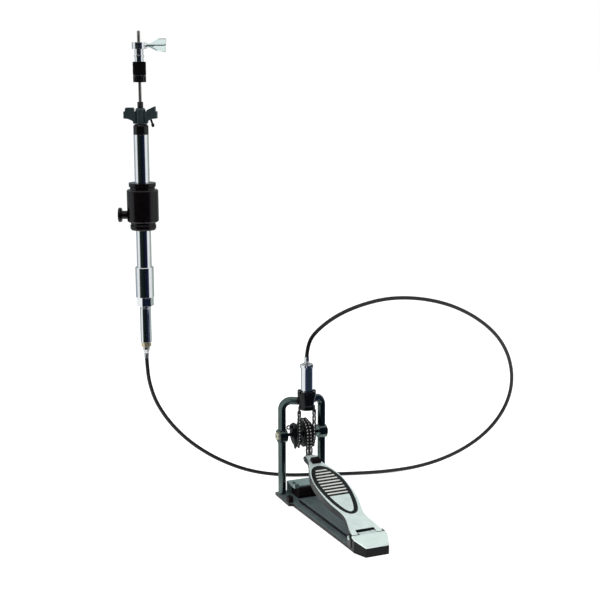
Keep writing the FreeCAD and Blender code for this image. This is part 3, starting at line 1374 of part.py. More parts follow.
def board_node(name, shape):
    """A piece of the footboard, drawn along the board and tipped up about the heel hinge."""
    item = feature(name + "_form", shape)
    item.Placement = FreeCAD.Placement(Vector(), FreeCAD.Rotation(ACROSS, board_slope()))
    return pedal_node(name, item, at=(0, -S.hinge_back, S.hinge_height))


# ---------------------------------------------------------------- build, check and write
def build():
    pull_rod()
    spring_cap()
    clutch()
    clutch_screw()
    clutch_nut()
    seat_socket()
    cymbal_seat()
    tilt_screw()
    seat_tube()
    clamp_sleeve()
    clamp_knob()
    spring_housing()
    return_spring()
    cable_socket()
    cable()
    pedal_base()
    heel()
    pedal_frame()
    cross_bracket()
    cable_cup()
    cable_barrel()
    wheels()
    hub_clamp()
    drive_chain()
    pull_chains()
    footboard()
    doc.recompute()


def check():
    for item in doc.Objects:
        if "Invalid" in item.State or "Error" in item.State:
            raise RuntimeError("%s failed: %s" % (item.Name, item.State))
    for item in nodes:
        shape = item.Shape
        if shape.isNull() or not shape.isValid():
            raise RuntimeError("%s has no valid shape" % item.Label)
        if not shape.Solids or shape.Volume <= 0:
            raise RuntimeError("%s has no solid" % item.Label)


def write():
    os.makedirs("parts", exist_ok=True)
    for item in nodes:
        item.Shape.exportStep("parts/%s.step" % item.Label)


build()
check()
write()
print("%d nodes" % len(nodes))
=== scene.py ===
"""Looks of the remote hi-hat: finishes, felts, spring, cable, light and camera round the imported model.

Metres, in the frame of the CAD: the origin is the middle of the clamp sleeve and Z is up.  The pedal
stands on the floor to the right of the rod unit and in front of it, a post on each side of its wheel.
"""
import json
import math

import bmesh
import bpy
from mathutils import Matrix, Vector


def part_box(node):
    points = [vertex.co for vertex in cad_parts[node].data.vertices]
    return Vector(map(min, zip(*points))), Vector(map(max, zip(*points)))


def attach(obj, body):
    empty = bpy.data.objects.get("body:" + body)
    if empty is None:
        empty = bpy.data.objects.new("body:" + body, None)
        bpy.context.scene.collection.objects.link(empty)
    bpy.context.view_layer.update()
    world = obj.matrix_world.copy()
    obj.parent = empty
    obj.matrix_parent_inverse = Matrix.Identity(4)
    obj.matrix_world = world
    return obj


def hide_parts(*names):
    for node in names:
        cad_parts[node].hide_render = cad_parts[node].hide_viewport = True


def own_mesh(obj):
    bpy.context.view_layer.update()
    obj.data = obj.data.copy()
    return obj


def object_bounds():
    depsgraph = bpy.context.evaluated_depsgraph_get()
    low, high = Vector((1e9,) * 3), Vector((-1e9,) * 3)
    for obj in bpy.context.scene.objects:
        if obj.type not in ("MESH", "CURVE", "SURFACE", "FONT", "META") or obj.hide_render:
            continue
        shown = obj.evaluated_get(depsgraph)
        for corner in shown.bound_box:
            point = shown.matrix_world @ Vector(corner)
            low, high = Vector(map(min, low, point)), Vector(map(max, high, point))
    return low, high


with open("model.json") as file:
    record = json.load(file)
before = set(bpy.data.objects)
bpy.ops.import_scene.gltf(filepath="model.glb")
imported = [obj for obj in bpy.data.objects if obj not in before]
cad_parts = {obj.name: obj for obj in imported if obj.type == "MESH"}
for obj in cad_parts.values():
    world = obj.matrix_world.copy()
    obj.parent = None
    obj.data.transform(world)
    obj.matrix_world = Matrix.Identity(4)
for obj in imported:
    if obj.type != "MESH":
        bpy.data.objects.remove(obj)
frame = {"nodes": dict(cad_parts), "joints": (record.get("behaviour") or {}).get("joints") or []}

cad_low, cad_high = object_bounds()
nodes = frame["nodes"]
joints = {joint["name"]: joint for joint in frame["joints"]}
scene = bpy.context.scene

MM = 0.001
FLOOR = cad_low[2]
PEDAL_X, PEDAL_Y = joints["wheel_turn"]["pos_m"][:2]


def add_object(name, data):
    """New object in the scene."""
    made = bpy.data.objects.new(name, data)
    scene.collection.objects.link(made)
    return made


# ---------------------------------------------------------------- node helpers
# Places of the colour sockets on a Mix node, whose names they share with its other sockets.
MIX_COLORS = (6, 7)
MIX_RESULT = 2
# How well the rounded normal matches the true one, on a flat and on a sharp edge.
FLAT_MATCH, EDGE_MATCH = 0.995, 0.86


class Finish:
    """A procedural material: one Principled shader, with short calls for what feeds it."""

    def __init__(self, name, color, rough, metal=0.0, **sockets):
        self.material = bpy.data.materials.new(name)
        self.material.use_nodes = True
        self.tree = self.material.node_tree
        self.shader = next(node for node in self.tree.nodes if node.type == "BSDF_PRINCIPLED")
        self.set("Base Color", (*color, 1))
        self.set("Roughness", rough)
        self.set("Metallic", metal)
        for socket, value in sockets.items():
            self.set(socket.replace("_", " "), value)
        self.place = self.new("ShaderNodeTexCoord").outputs["Object"]
        self.normal = None

    def new(self, kind, **props):
        made = self.tree.nodes.new(kind)
        for key, value in props.items():
            setattr(made, key, value)
        return made

    def set(self, socket, value):
        self.shader.inputs[socket].default_value = value

    def link(self, out, into):
        self.tree.links.new(out, into)

    def feed(self, sockets, values):
        """Link or set each socket: a value is another node's output, or a constant."""
        for socket, value in zip(sockets, values):
            if isinstance(value, bpy.types.NodeSocket):
                self.link(value, socket)
            else:
                socket.default_value = value

    def math(self, operation, *values):
        made = self.new("ShaderNodeMath", operation=operation)
        self.feed(made.inputs, values)
        return made.outputs["Value"]

    def vector(self, operation, *values):
        """Vector arithmetic, for a result that is again a vector."""
        made = self.new("ShaderNodeVectorMath", operation=operation)
        self.feed(made.inputs, values)
        return made.outputs["Vector"]

    def measure(self, operation, *values):
        """Vector arithmetic, for a result that is one number."""
        made = self.new("ShaderNodeVectorMath", operation=operation)
        self.feed(made.inputs, values)
        return made.outputs["Value"]

    def part(self, vector, axis):
        """One coordinate of a vector."""
        split = self.new("ShaderNodeSeparateXYZ")
        self.link(vector, split.inputs[0])
        return split.outputs[axis]

    def noise(self, scale, detail=4.0, stretch=(1, 1, 1), rough=0.55):
        """Noise whose scale is in features per metre, times the stretch along each axis."""
        mapping = self.new("ShaderNodeMapping")
        mapping.inputs["Scale"].default_value = stretch
        self.link(self.place, mapping.inputs["Vector"])
        noise = self.new("ShaderNodeTexNoise")
        noise.inputs["Scale"].default_value = scale
        noise.inputs["Detail"].default_value = detail
        noise.inputs["Roughness"].default_value = rough
        self.link(mapping.outputs["Vector"], noise.inputs["Vector"])
        return noise.outputs["Fac"]

    def span(self, value, low, high, to_low=0.0, to_high=1.0):
        """Stretch low..high of a value to to_low..to_high, held at the ends."""
        made = self.new("ShaderNodeMapRange")
        sockets = [made.inputs[key] for key in ("Value", "From Min", "From Max", "To Min", "To Max")]
        self.feed(sockets, (value, low, high, to_low, to_high))
        return made.outputs["Result"]

    def bands(self, axis, middles, half):
        """1 within half of any of the middles along an axis of the piece's own frame."""
        along = self.part(self.place, axis)
        found = None
        for middle in middles:
            band = self.math("COMPARE", along, middle, half)
            found = band if found is None else self.math("MAXIMUM", found, band)
        return found

    def blend(self, factor, one, other):
        """Mix of two colours, each a triple or another node's output."""
        made = self.new("ShaderNodeMix", data_type="RGBA")
        self.link(factor, made.inputs["Factor"])
        colors = [(*color, 1) if isinstance(color, tuple) else color for color in (one, other)]
        self.feed([made.inputs[index] for index in MIX_COLORS], colors)
        return made.outputs[MIX_RESULT]

    def tone(self):
        """What feeds the colour so far."""
        return self.shader.inputs["Base Color"].links[0].from_socket

    def paint(self, color):
        self.link(color, self.shader.inputs["Base Color"])

    def gloss(self, value):
        self.link(value, self.shader.inputs["Roughness"])

    def relief(self, value, depth, strength=1.0):
        """Bump of the given depth in metres; several stack."""
        bump = self.new("ShaderNodeBump")
        bump.inputs["Distance"].default_value = depth
        bump.inputs["Strength"].default_value = strength
        self.link(value, bump.inputs["Height"])
        if self.normal is not None:
            self.link(self.normal, bump.inputs["Normal"])
        self.normal = bump.outputs["Normal"]
        self.link(self.normal, self.shader.inputs["Normal"])

    def soften(self, radius):
        """Round off hard edges in the shading, under any relief."""
        self.normal = self.rounded(radius, samples=6)
        self.link(self.normal, self.shader.inputs["Normal"])

    def rounded(self, radius, samples):
        """Normal of the surface with its edges rounded off."""
        soft = self.new("ShaderNodeBevel", samples=samples)
        soft.inputs["Radius"].default_value = radius
        return soft.outputs["Normal"]

    def upward(self, low, high):
        """0 where the surface faces sideways or down, 1 where it faces up, in the piece's own frame."""
        facing = self.new("ShaderNodeTexCoord").outputs["Normal"]
        return self.span(self.part(facing, "Z"), low, high)

    def edges(self, radius):
        """1 on sharp edges, 0 on flats."""
        flat = self.new("ShaderNodeNewGeometry").outputs["Normal"]
        match = self.measure("DOT_PRODUCT", self.rounded(radius, samples=4), flat)
        return self.span(match, FLAT_MATCH, EDGE_MATCH)


def scaled(color, times):
    """Colour made paler or darker."""
    return tuple(min(part * times, 1) for part in color)


def chrome_finish(name, tint=(0.80, 0.81, 0.83), rough=0.07):
    """Polished plating: faint smears, fine wipe marks along Z."""
    made = Finish(name, tint, rough, metal=1.0)
    made.soften(0.4 * MM)
    smear = made.noise(55, detail=5)
    made.gloss(made.span(smear, 0.35, 0.75, rough * 0.6, rough * 2.2))
    made.paint(made.blend(made.span(smear, 0.45, 0.7, 0, 0.5), tint, scaled(tint, 0.88)))
    made.relief(made.noise(900, detail=2, stretch=(1, 1, 0.05)), depth=0.01 * MM, strength=0.25)
    return made


def satin_finish(name, color, rough, grain, depth, metal=0.0, wear_and_glint=None, edge_radius=0.8 * MM,
                 wear_and_glint_share=0.6, painted_side_shade=None, mottled=0.16, **sockets):
    """Moulded, cast or painted surface: mottled gloss, fine grain, paler edges that are worn and, on the base
    plate, also a painted highlight, and sides darkened with painted shade.

    Grain is in features per metre and depth in metres.  The colour of the pale edges (wear, and painted
    highlight) and that of the painted side shade are colours.
    """
    made = Finish(name, color, rough, metal, **sockets)
    made.soften(edge_radius)
    mottle = made.noise(70, detail=5)
    fine = made.noise(grain, detail=3)
    tone = made.blend(made.span(mottle, 0.35, 0.7), scaled(color, 1 - mottled), scaled(color, 1 + mottled))
    # Pale edges: worn paint; on the base plate they are also a painted highlight on its ridges.
    if wear_and_glint:
        patches = made.span(made.noise(260, detail=4), 0.38, 0.62)
        chipped_and_glinting = made.math("MULTIPLY", made.edges(edge_radius), patches)
        tone = made.blend(made.math("MULTIPLY", chipped_and_glinting, wear_and_glint_share), tone, wear_and_glint)
    # Painted shade: faces turned sideways or down take the darker side colour.
    if painted_side_shade:
        tone = made.blend(made.upward(0.35, 0.7), painted_side_shade, tone)
    made.paint(tone)
    made.gloss(made.span(mottle, 0.3, 0.75, rough * 0.82, min(rough * 1.25, 1)))
    made.relief(fine, depth, strength=0.6)
    return made


# ---------------------------------------------------------------- plated metals
chrome = chrome_finish("chrome_plate")
bright = chrome_finish("bright_chrome", (0.88, 0.89, 0.90), rough=0.05)
rod_steel = chrome_finish("rod_steel", (0.34, 0.33, 0.31), rough=0.16)
ferrule_metal = chrome_finish("turned_nickel", (0.72, 0.73, 0.73), rough=0.2)
post_plate = satin_finish("post_black_nickel", (0.095, 0.128, 0.121), rough=0.2, grain=500,
                          depth=0.02 * MM, metal=1.0, wear_and_glint=(0.3, 0.3, 0.29))
zinc = satin_finish("zinc_plate", (0.37, 0.47, 0.44), rough=0.38, grain=1100, depth=0.03 * MM,
                    metal=0.9, wear_and_glint=(0.75, 0.76, 0.76))
yoke_metal = satin_finish("yoke_wire", (0.05, 0.05, 0.052), rough=0.3, grain=1600, depth=0.02 * MM,
                          metal=0.85, wear_and_glint=(0.40, 0.40, 0.39), edge_radius=0.3 * MM)
brass = satin_finish("brass_turned", (0.62, 0.54, 0.36), rough=0.26, grain=1500, depth=0.02 * MM,
                     metal=0.9, wear_and_glint=(0.9, 0.85, 0.7))


def wing_finish():
    """Cast and plated wing: minty lobes, with painted shade along their rims and the spine where they meet.
    """
    low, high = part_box("clutch_wing_screw")
    line_half = 1.2 * MM
    made = Finish("wing_cast_chrome", (0.60, 0.72, 0.70), rough=0.2, metal=0.9)
    made.soften(0.6 * MM)
    smear = made.noise(120, detail=3)
    lobes = made.blend(made.span(smear, 0.35, 0.7), (0.60, 0.73, 0.71), (0.72, 0.82, 0.80))
    # Painted shade: dark lines along the spine where the lobes meet and along the rims.
    spine = made.bands("Z", ((low[2] + high[2]) / 2,), line_half)
    rims = made.bands("Z", (low[2], high[2]), line_half)
    lines = made.math("MAXIMUM", spine, rims)
    dark = made.math("MULTIPLY", lines, made.span(smear, 0.3, 0.6, 0.7, 1))
    made.paint(made.blend(dark, lobes, (0.035, 0.05, 0.05)))
    made.gloss(made.span(smear, 0.35, 0.75, 0.14, 0.34))
    made.relief(made.noise(900, detail=3), depth=0.02 * MM, strength=0.6)
    return made


def cap_finish():
    """Pale brass bearing caps with painted shade in the middle, standing for a socket that has no depth."""
    low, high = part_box("bearing_caps")
    socket_inside, socket_edge = 2.2 * MM, 2.6 * MM
    made = satin_finish("cap_brass", (0.86, 0.80, 0.62), rough=0.3, grain=1500, depth=0.02 * MM,
                        metal=0.5, wear_and_glint=(0.95, 0.92, 0.8))
    sideways = made.vector("MULTIPLY", made.place, (0, 1, 1))
    axis_place = (0, (low[1] + high[1]) / 2, (low[2] + high[2]) / 2)
    # Painted shade: a dark disc round the axis for the inside of the socket.
    socket = made.span(made.measure("DISTANCE", sideways, axis_place), socket_edge, socket_inside)
    made.paint(made.blend(socket, made.tone(), (0.02, 0.018, 0.014)))
    return made


def chain_finish():
    """Black oiled plates, with near-white matt rollers in the middle of each strand: bright metal, with a
    painted highlight as well.
    """
    drive_strands = (0.55 * MM, 7.45 * MM)
    side_strands = (-15.8 * MM, 15.8 * MM)
    roller_half = 1.12 * MM
    made = Finish("chain_metal", (0.010, 0.010, 0.011), rough=0.3, metal=0.6)
    made.soften(0.2 * MM)
    grime = made.noise(240, detail=4)
    plate = made.blend(made.span(grime, 0.4, 0.7), (0.006, 0.006, 0.007), (0.020, 0.020, 0.021))
    worn = made.math("MULTIPLY", made.edges(0.3 * MM), made.span(grime, 0.4, 0.6, 0, 0.5))
    plate = made.blend(worn, plate, (0.30, 0.30, 0.29))
    # Roller colour: bright metal plus a painted highlight; their metallic is lowered so they stay pale.
    steel_and_glint = made.blend(made.span(grime, 0.3, 0.75), (0.95, 0.95, 0.92), (0.75, 0.75, 0.72))
    rollers = made.bands("X", [PEDAL_X + strand for strand in drive_strands + side_strands], roller_half)
    made.paint(made.blend(rollers, plate, steel_and_glint))
    made.link(made.span(rollers, 0, 1, 0.6, 0.1), made.shader.inputs["Metallic"])
    made.gloss(made.span(grime, 0.3, 0.75, 0.24, 0.42))
    made.relief(made.noise(1600, detail=3), depth=0.02 * MM, strength=0.6)
    return made


wing_metal = wing_finish()
cap_metal = cap_finish()
chain_metal = chain_finish()

# ---------------------------------------------------------------- cast silver
CAST_WEAR = (0.93, 0.94, 0.93)


def board_finish():
    """Cast silver board: cream ribs inside its oval field, sides darkened with painted shade."""
    low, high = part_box("footboard_field")
    rim = 2.5 * MM
    panel_length = 62 * MM
    made = satin_finish("cast_silver", (0.79, 0.90, 0.865), rough=0.38, grain=1300, depth=0.03 * MM,
                        metal=0.6, mottled=0.04, wear_and_glint=CAST_WEAR, edge_radius=0.6 * MM)
    middle = ((low[0] + high[0]) / 2, (low[1] + high[1]) / 2, 0)
    to_oval = (2 / (high[0] - low[0] - 2 * rim), 2 / (high[1] - low[1] - 2 * rim), 0)
    from_middle = made.vector("SUBTRACT", made.place, middle)
    out = made.measure("LENGTH", made.vector("MULTIPLY", from_middle, to_oval))
    ribs_from = low[1] + panel_length
    past_panel = made.bands("Y", ((ribs_from + high[1]) / 2,), (high[1] - ribs_from) / 2)
    ribbed = made.math("MULTIPLY", made.span(out, 1, 0.99), past_panel)
    tone = made.blend(ribbed, made.tone(), (0.90, 0.90, 0.83))
    # Painted shade: faces turned sideways or down are painted near black.
    made.paint(made.blend(made.upward(0.35, 0.7), (0.007, 0.011, 0.012), tone))
    return made


def heel_finish():
    """Cast silver heel plate with a dark joint round its tongue."""
    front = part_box("heel_block")[1][1]
    tongue_half, tongue_length = 18 * MM, 20 * MM
    joint_half, joint_overrun = 1.2 * MM, 1.5 * MM
    shoulder_half, shoulder_inset = 1 * MM, 0.8 * MM
    made = satin_finish("heel_silver", (0.80, 0.92, 0.88), rough=0.36, grain=1300, depth=0.03 * MM,
                        metal=0.6, mottled=0.04, wear_and_glint=CAST_WEAR, edge_radius=0.6 * MM)
    tongue = made.bands("X", (PEDAL_X,), tongue_half)
    front_edge = made.bands("Y", (front - shoulder_inset,), shoulder_half)
    shoulders = made.math("MULTIPLY", front_edge, made.math("SUBTRACT", 1, tongue))
    beside = made.bands("X", (PEDAL_X - tongue_half, PEDAL_X + tongue_half), joint_half)
    along = made.bands("Y", (front + tongue_length / 2,), tongue_length / 2 + joint_overrun)
    joint = made.math("MAXIMUM", shoulders, made.math("MULTIPLY", beside, along))
    made.paint(made.blend(joint, made.tone(), (0.006, 0.007, 0.007)))
    return made


board_metal = board_finish()
heel_metal = heel_finish()

# ---------------------------------------------------------------- paints
frame_paint = satin_finish("frame_paint", (0.002, 0.003, 0.003), rough=0.2, grain=500, depth=0.03 * MM,
                           wear_and_glint=(0.10, 0.10, 0.095), Specular_IOR_Level=0.3)
# Base plate: the grey-teal colour is partly a painted sheen on its black satin paint, the pale ridges partly
# a painted highlight, the dark sides painted shade.
base_paint = satin_finish("base_paint", (0.138, 0.182, 0.183), rough=0.42, grain=900, depth=0.04 * MM,
                          metal=0.3, wear_and_glint=(0.62, 0.64, 0.62), edge_radius=1.2 * MM, wear_and_glint_share=0.9,
                          painted_side_shade=(0.006, 0.007, 0.007), Specular_IOR_Level=0.3)
wheel_paint = satin_finish("wheel_paint", (0.003, 0.0035, 0.004), rough=0.3, grain=900, depth=0.02 * MM,
                           wear_and_glint=(0.07, 0.07, 0.07), edge_radius=0.4 * MM, Specular_IOR_Level=0.25)
field_paint = satin_finish("field_paint", (0.004, 0.005, 0.005), rough=0.3, grain=1100, depth=0.03 * MM,
                           Specular_IOR_Level=0.2)
heel_paint = satin_finish("heel_paint", (0.003, 0.004, 0.005), rough=0.3, grain=700, depth=0.03 * MM,
                          wear_and_glint=(0.10, 0.10, 0.11), Specular_IOR_Level=0.15)

# ---------------------------------------------------------------- plastics, rubber and felt
black_plastic = satin_finish("black_plastic", (0.0022, 0.0028, 0.003), rough=0.2, grain=1500,
                             depth=0.02 * MM, Specular_IOR_Level=0.35)
sleeve_plastic = satin_finish("sleeve_plastic", (0.0032, 0.0020, 0.0026), rough=0.18, grain=1400,
                              depth=0.01 * MM, Specular_IOR_Level=0.24)
# Seat plastic: paler than black, partly a painted sheen standing for the light on its arms.
seat_plastic = satin_finish("seat_plastic", (0.018, 0.029, 0.033), rough=0.3, grain=1400,
                            depth=0.02 * MM, wear_and_glint=(0.12, 0.16, 0.17), edge_radius=0.6 * MM,
                            Specular_IOR_Level=0.4)
guide_plastic = satin_finish("guide_plastic", (0.012, 0.013, 0.014), rough=0.3, grain=1200,
                             depth=0.02 * MM, Specular_IOR_Level=0.5)
rubber = satin_finish("rubber", (0.006, 0.003, 0.0035), rough=0.6, grain=800, depth=0.05 * MM,
                      Specular_IOR_Level=0.12)
jacket = satin_finish("cable_jacket", (0.005, 0.005, 0.006), rough=0.36, grain=1300, depth=0.02 * MM,
                      Specular_IOR_Level=0.35)


def felt_finish():
    """Pressed felt: matted fibres, soft sheen."""
    made = Finish("pressed_felt", (0.003, 0.003, 0.003), rough=0.95, Specular_IOR_Level=0.04,
                  Sheen_Weight=0.008, Sheen_Roughness=0.5)
    fibres = made.noise(1800, detail=6, stretch=(1, 1, 2.4), rough=0.7)
    clumps = made.noise(420, detail=4)
    made.paint(made.blend(made.span(fibres, 0.35, 0.7), (0.0008, 0.0009, 0.0011), (0.004, 0.004, 0.0045)))
    made.relief(fibres, depth=0.3 * MM, strength=0.8)
    made.relief(clumps, depth=0.4 * MM, strength=0.5)
    return made


felt = felt_finish()

# ---------------------------------------------------------------- finish of each CAD node
BENDING_LINKS = range(1, 5)
CHAINS = (["drive_chain_held", "drive_chain_run", "pull_chains_held", "pull_chain_runs"]
          + ["drive_chain_link_%d" % number for number in BENDING_LINKS]
          + ["pull_chain_links_%d" % number for number in BENDING_LINKS])
NODE_FINISHES = (
    (rod_steel, ["pull_rod"]),
    (chrome, ["clutch_tube", "clutch_collar", "seat_tube", "spring_housing", "cable_socket",
              "adjuster_barrel"]),
    (bright, ["lock_nut", "toe_pin"]),
    (wing_metal, ["clutch_wing_screw"]),
    (ferrule_metal, ["upper_ferrule", "lower_ferrule", "return_spring", "lower_inner_wire"]),
    (black_plastic, ["seat_socket", "clutch_nut", "spring_cap", "spring_seat"]),
    (seat_plastic, ["cymbal_seat", "seat_pads"]),
    (sleeve_plastic, ["clamp_sleeve", "clamp_knob"]),
    (guide_plastic, ["rod_guide"]),
    (post_plate, ["left_post", "right_post"]),
    (frame_paint, ["cable_cup", "tilt_screw", "hub_loop_screw", "hinge_ears"]),
    (base_paint, ["base_plate"]),
    (zinc, ["cross_bracket", "axle_bearings", "hinge_pin"]),
    (yoke_metal, ["wire_yoke"]),
    (chain_metal, CHAINS),
    (wheel_paint, ["axle", "drive_wheel", "side_wheels", "hub_collar"]),
    (board_metal, ["footboard"]),
    (heel_metal, ["heel_plate"]),
    (field_paint, ["footboard_field"]),
    (heel_paint, ["heel_block"]),
    (rubber, ["rubber_blocks", "toe_block"]),
    (felt, ["clutch_felts"]),
    (brass, ["brass_nut"]),
    (cap_metal, ["bearing_caps"]),
    (jacket, ["cable"]),
)
for finish, names in NODE_FINISHES:
    for name in names:
        slots = nodes[name].data.materials
        slots.clear()
        slots.append(finish.material)


# ---------------------------------------------------------------- mesh helpers
def skin(name, rings, closed):
    """Mesh through rings of points: the last ring meets the first, or both ends are capped."""
    form = bmesh.new()
    rings = [[form.verts.new(point) for point in ring] for ring in rings]
    following = rings[1:] + rings[:1] if closed else rings[1:]
    for here, there in zip(rings, following):
        for index in range(len(here)):
            after = (index + 1) % len(here)
            form.faces.new((here[index], there[index], there[after], here[after]))
    if not closed:
        form.faces.new(rings[0])
        form.faces.new(reversed(rings[-1]))
    bmesh.ops.recalc_face_normals(form, faces=form.faces)
    mesh = bpy.data.meshes.new(name)
    form.to_mesh(mesh)
    form.free()
    for face in mesh.polygons:
        face.use_smooth = len(face.vertices) == 4
    return add_object(name, mesh)


def lathe(name, profile, steps=96):
    """Ring turned about Z from a closed profile of (radius, height)."""
    turns = [2 * math.pi * step / steps for step in range(steps)]
    rings = [[(out * math.cos(turn), out * math.sin(turn), height) for out, height in profile]
             for turn in turns]
    return skin(name, rings, closed=True)


# ---------------------------------------------------------------- felts
def felt_profile(bore, outer, low, high):
    """Closed profile of a pressed felt: just rounded rims, and a side that swells very little."""
    soft, bulge = 0.3 * MM, 0.1 * MM
    rim, middle = outer - soft, (low + high) / 2
    quarter = [math.radians(15 * step) for step in range(7)]
    top = [(rim + soft * math.sin(turn), high - soft + soft * math.cos(turn)) for turn in quarter]
    side = [(outer + bulge * share, middle + (high - middle) * up)
            for share, up in ((0.7, 0.4), (1, 0), (0.7, -0.4))]
    foot = [(rim + soft * math.cos(turn), low + soft - soft * math.sin(turn)) for turn in quarter]
    return [(bore, low), (bore, high)] + top + side + foot


def make_felts():
    """Two thick felts squeezed between the clutch's nut and its tube."""
    low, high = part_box("clutch_felts")
    bore, side_room = 5.3 * MM, 0.2 * MM
    outer = (high[0] - low[0]) / 2 - side_room
    middle = (low[2] + high[2]) / 2
    for name, foot, top in (("lower_felt", low[2], middle), ("upper_felt", middle, high[2])):
        piece = lathe(name, felt_profile(bore, outer, foot, top))
        ruffle = bpy.data.textures.new(name + "_ruffle", "CLOUDS")
        ruffle.noise_scale = 2.2 * MM
        fuzz = piece.modifiers.new("ruffle", "DISPLACE")
        fuzz.texture = ruffle
        fuzz.texture_coords = "GLOBAL"
        fuzz.strength = 0.4 * MM
        fuzz.mid_level = 0.7
        piece.data.materials.append(felt.material)
        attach(piece, "clutch")
        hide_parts("clutch_felts")


make_felts()


# ---------------------------------------------------------------- return spring
def coil_rings(middle, mean, foot, rise, wire):
    """Rings of points round the wire of a coil, from its foot to its top."""
    coils, steps, around = 9, 32, 12
    sides = [2 * math.pi * side / around for side in range(around)]
    for step in range(coils * steps + 1):
        turn = 2 * math.pi * step / steps
        out = Vector((math.cos(turn), math.sin(turn), 0))
        centre = middle + out * mean + Vector((0, 0, foot + rise * step / (coils * steps)))
        yield [centre + out * (wire * math.cos(side)) + Vector((0, 0, wire * math.sin(side)))
               for side in sides]


def make_spring():
    """Coil between its seat and the cap; the real spring shortens as the rod comes down, this one keeps its
    shape.
    """
    low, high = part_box("return_spring")
    wire, cap_room = 1.5 * MM, 0.2 * MM
    middle = Vector(((low[0] + high[0]) / 2, (low[1] + high[1]) / 2, 0))
    height = high[2] - low[2]
    mean = (high[0] - low[0]) / 2 - wire
    rings = coil_rings(middle, mean, low[2] + wire, height - 2 * wire, wire)
    piece = skin("return_coil", rings, closed=False)
    piece.data.materials.append(ferrule_metal.material)
    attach(piece, "frame")
    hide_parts("return_spring")
    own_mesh(piece)


make_spring()

# ---------------------------------------------------------------- cable
CABLE_ROUTE = (
    (0, 0, -300), (1, 0, -325), (5, 1, -355), (18, 1, -396), (47, 0, -443), (89, -3, -488),
    (143, -10, -527), (207, -21, -557), (276, -37, -570), (343, -58, -570), (411, -82, -570),
    (485, -99, -570), (564, -111, -564), (637, -124, -541), (696, -136, -503), (732, -147, -454),
    (744, -158, -398), (732, -166, -339), (699, -172, -286), (649, -172, -243), (587, -167, -210),
    (520, -161, -192), (452, -156, -187), (390, -153, -197), (337, -155, -214),
    (293, -162.325, -238), (275, -161.325, -262), (273, -161.325, -288),
)
CABLE_DIAMETER = 7.5 * MM


def make_cable():
    """One stiff cord from the rod unit's foot over the floor to the pedal's top, by part.py's points."""
    curve = bpy.data.curves.new("pull_cable", "CURVE")
    curve.dimensions = "3D"
    spline = curve.splines.new("NURBS")
    spline.points.add(len(CABLE_ROUTE) - 1)
    for point, place in zip(spline.points, CABLE_ROUTE):
        point.co = (*(value * MM for value in place), 1)
    spline.order_u = 3
    spline.use_endpoint_u = True
    spline.resolution_u = 12
    curve.bevel_depth = CABLE_DIAMETER / 2
    curve.bevel_resolution = 6
    curve.use_fill_caps = True
    curve.materials.append(jacket.material)
    piece = add_object("pull_cable", curve)
    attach(piece, "frame")
    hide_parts("cable")


make_cable()

# ---------------------------------------------------------------- studio
PLAIN_FLOOR, DIM_FLOOR = 0.86, 0.6
FLOOR_LIFT = 0.74
WORLD_LIGHT = 0.5
FLOOR_REACH = 30


def shader_node(tree, kind, level, strength=None):
    """Output of a shader of one grey level."""
    made = tree.nodes.new(kind)
    made.inputs["Color"].default_value = (level, level, level, 1)
    if strength is not None:
        made.inputs["Strength"].default_value = strength
    return made.outputs[0]


def mix_shaders(tree, factor, one, other):
    made = tree.nodes.new("ShaderNodeMixShader")
    for socket, out in zip(made.inputs, (factor, one, other)):
        tree.links.new(out, socket)
    return made.outputs[0]


def seen_or_reflected(tree):
    """1 for rays from the camera and off glossy surfaces, 0 for the light on the object."""
    path = tree.nodes.new("ShaderNodeLightPath")
    either = tree.nodes.new("ShaderNodeMath")
    either.operation = "MAXIMUM"
    tree.links.new(path.outputs["Is Camera Ray"], either.inputs[0])
    tree.links.new(path.outputs["Is Glossy Ray"], either.inputs[1])
    return either.outputs[0]


def stage_material(name):
    """A material whose surface is still to be linked, with its node tree and that socket."""
    material = bpy.data.materials.new(name)
    material.use_nodes = True
    tree = material.node_tree
    tree.nodes.clear()
    surface = tree.nodes.new("ShaderNodeOutputMaterial").inputs["Surface"]
    return material, tree, surface


def make_floor():
    """Pale floor: plain diffuse for light, lifted to white for the camera and for reflections."""
    reach = FLOOR_REACH
    corners = [(x, y, FLOOR) for x, y in ((-reach, -reach), (reach, -reach), (reach, reach), (-reach, reach))]
    mesh = bpy.data.meshes.new("studio_floor")
    mesh.from_pydata(corners, [], [(0, 1, 2, 3)])
    material, tree, surface = stage_material("floor_white")
    plain = shader_node(tree, "ShaderNodeBsdfDiffuse", PLAIN_FLOOR)
    lifted = tree.nodes.new("ShaderNodeAddShader")
    tree.links.new(shader_node(tree, "ShaderNodeBsdfDiffuse", DIM_FLOOR), lifted.inputs[0])
    tree.links.new(shader_node(tree, "ShaderNodeEmission", 1, FLOOR_LIFT), lifted.inputs[1])
    tree.links.new(mix_shaders(tree, seen_or_reflected(tree), plain, lifted.outputs[0]), surface)
    mesh.materials.append(material)
    add_object("studio_floor", mesh)


def make_world():
    """Even white surroundings: dimmer as a light, full white where seen or reflected."""
    world = bpy.data.worlds.new("studio_world")
    scene.world = world
    world.use_nodes = True
    tree = world.node_tree
    tree.nodes.clear()
    surface = tree.nodes.new("ShaderNodeOutputWorld").inputs["Surface"]
    light = shader_node(tree, "ShaderNodeBackground", 1, WORLD_LIGHT)
    white = shader_node(tree, "ShaderNodeBackground", 1, 1)
    tree.links.new(mix_shaders(tree, seen_or_reflected(tree), light, white), surface)


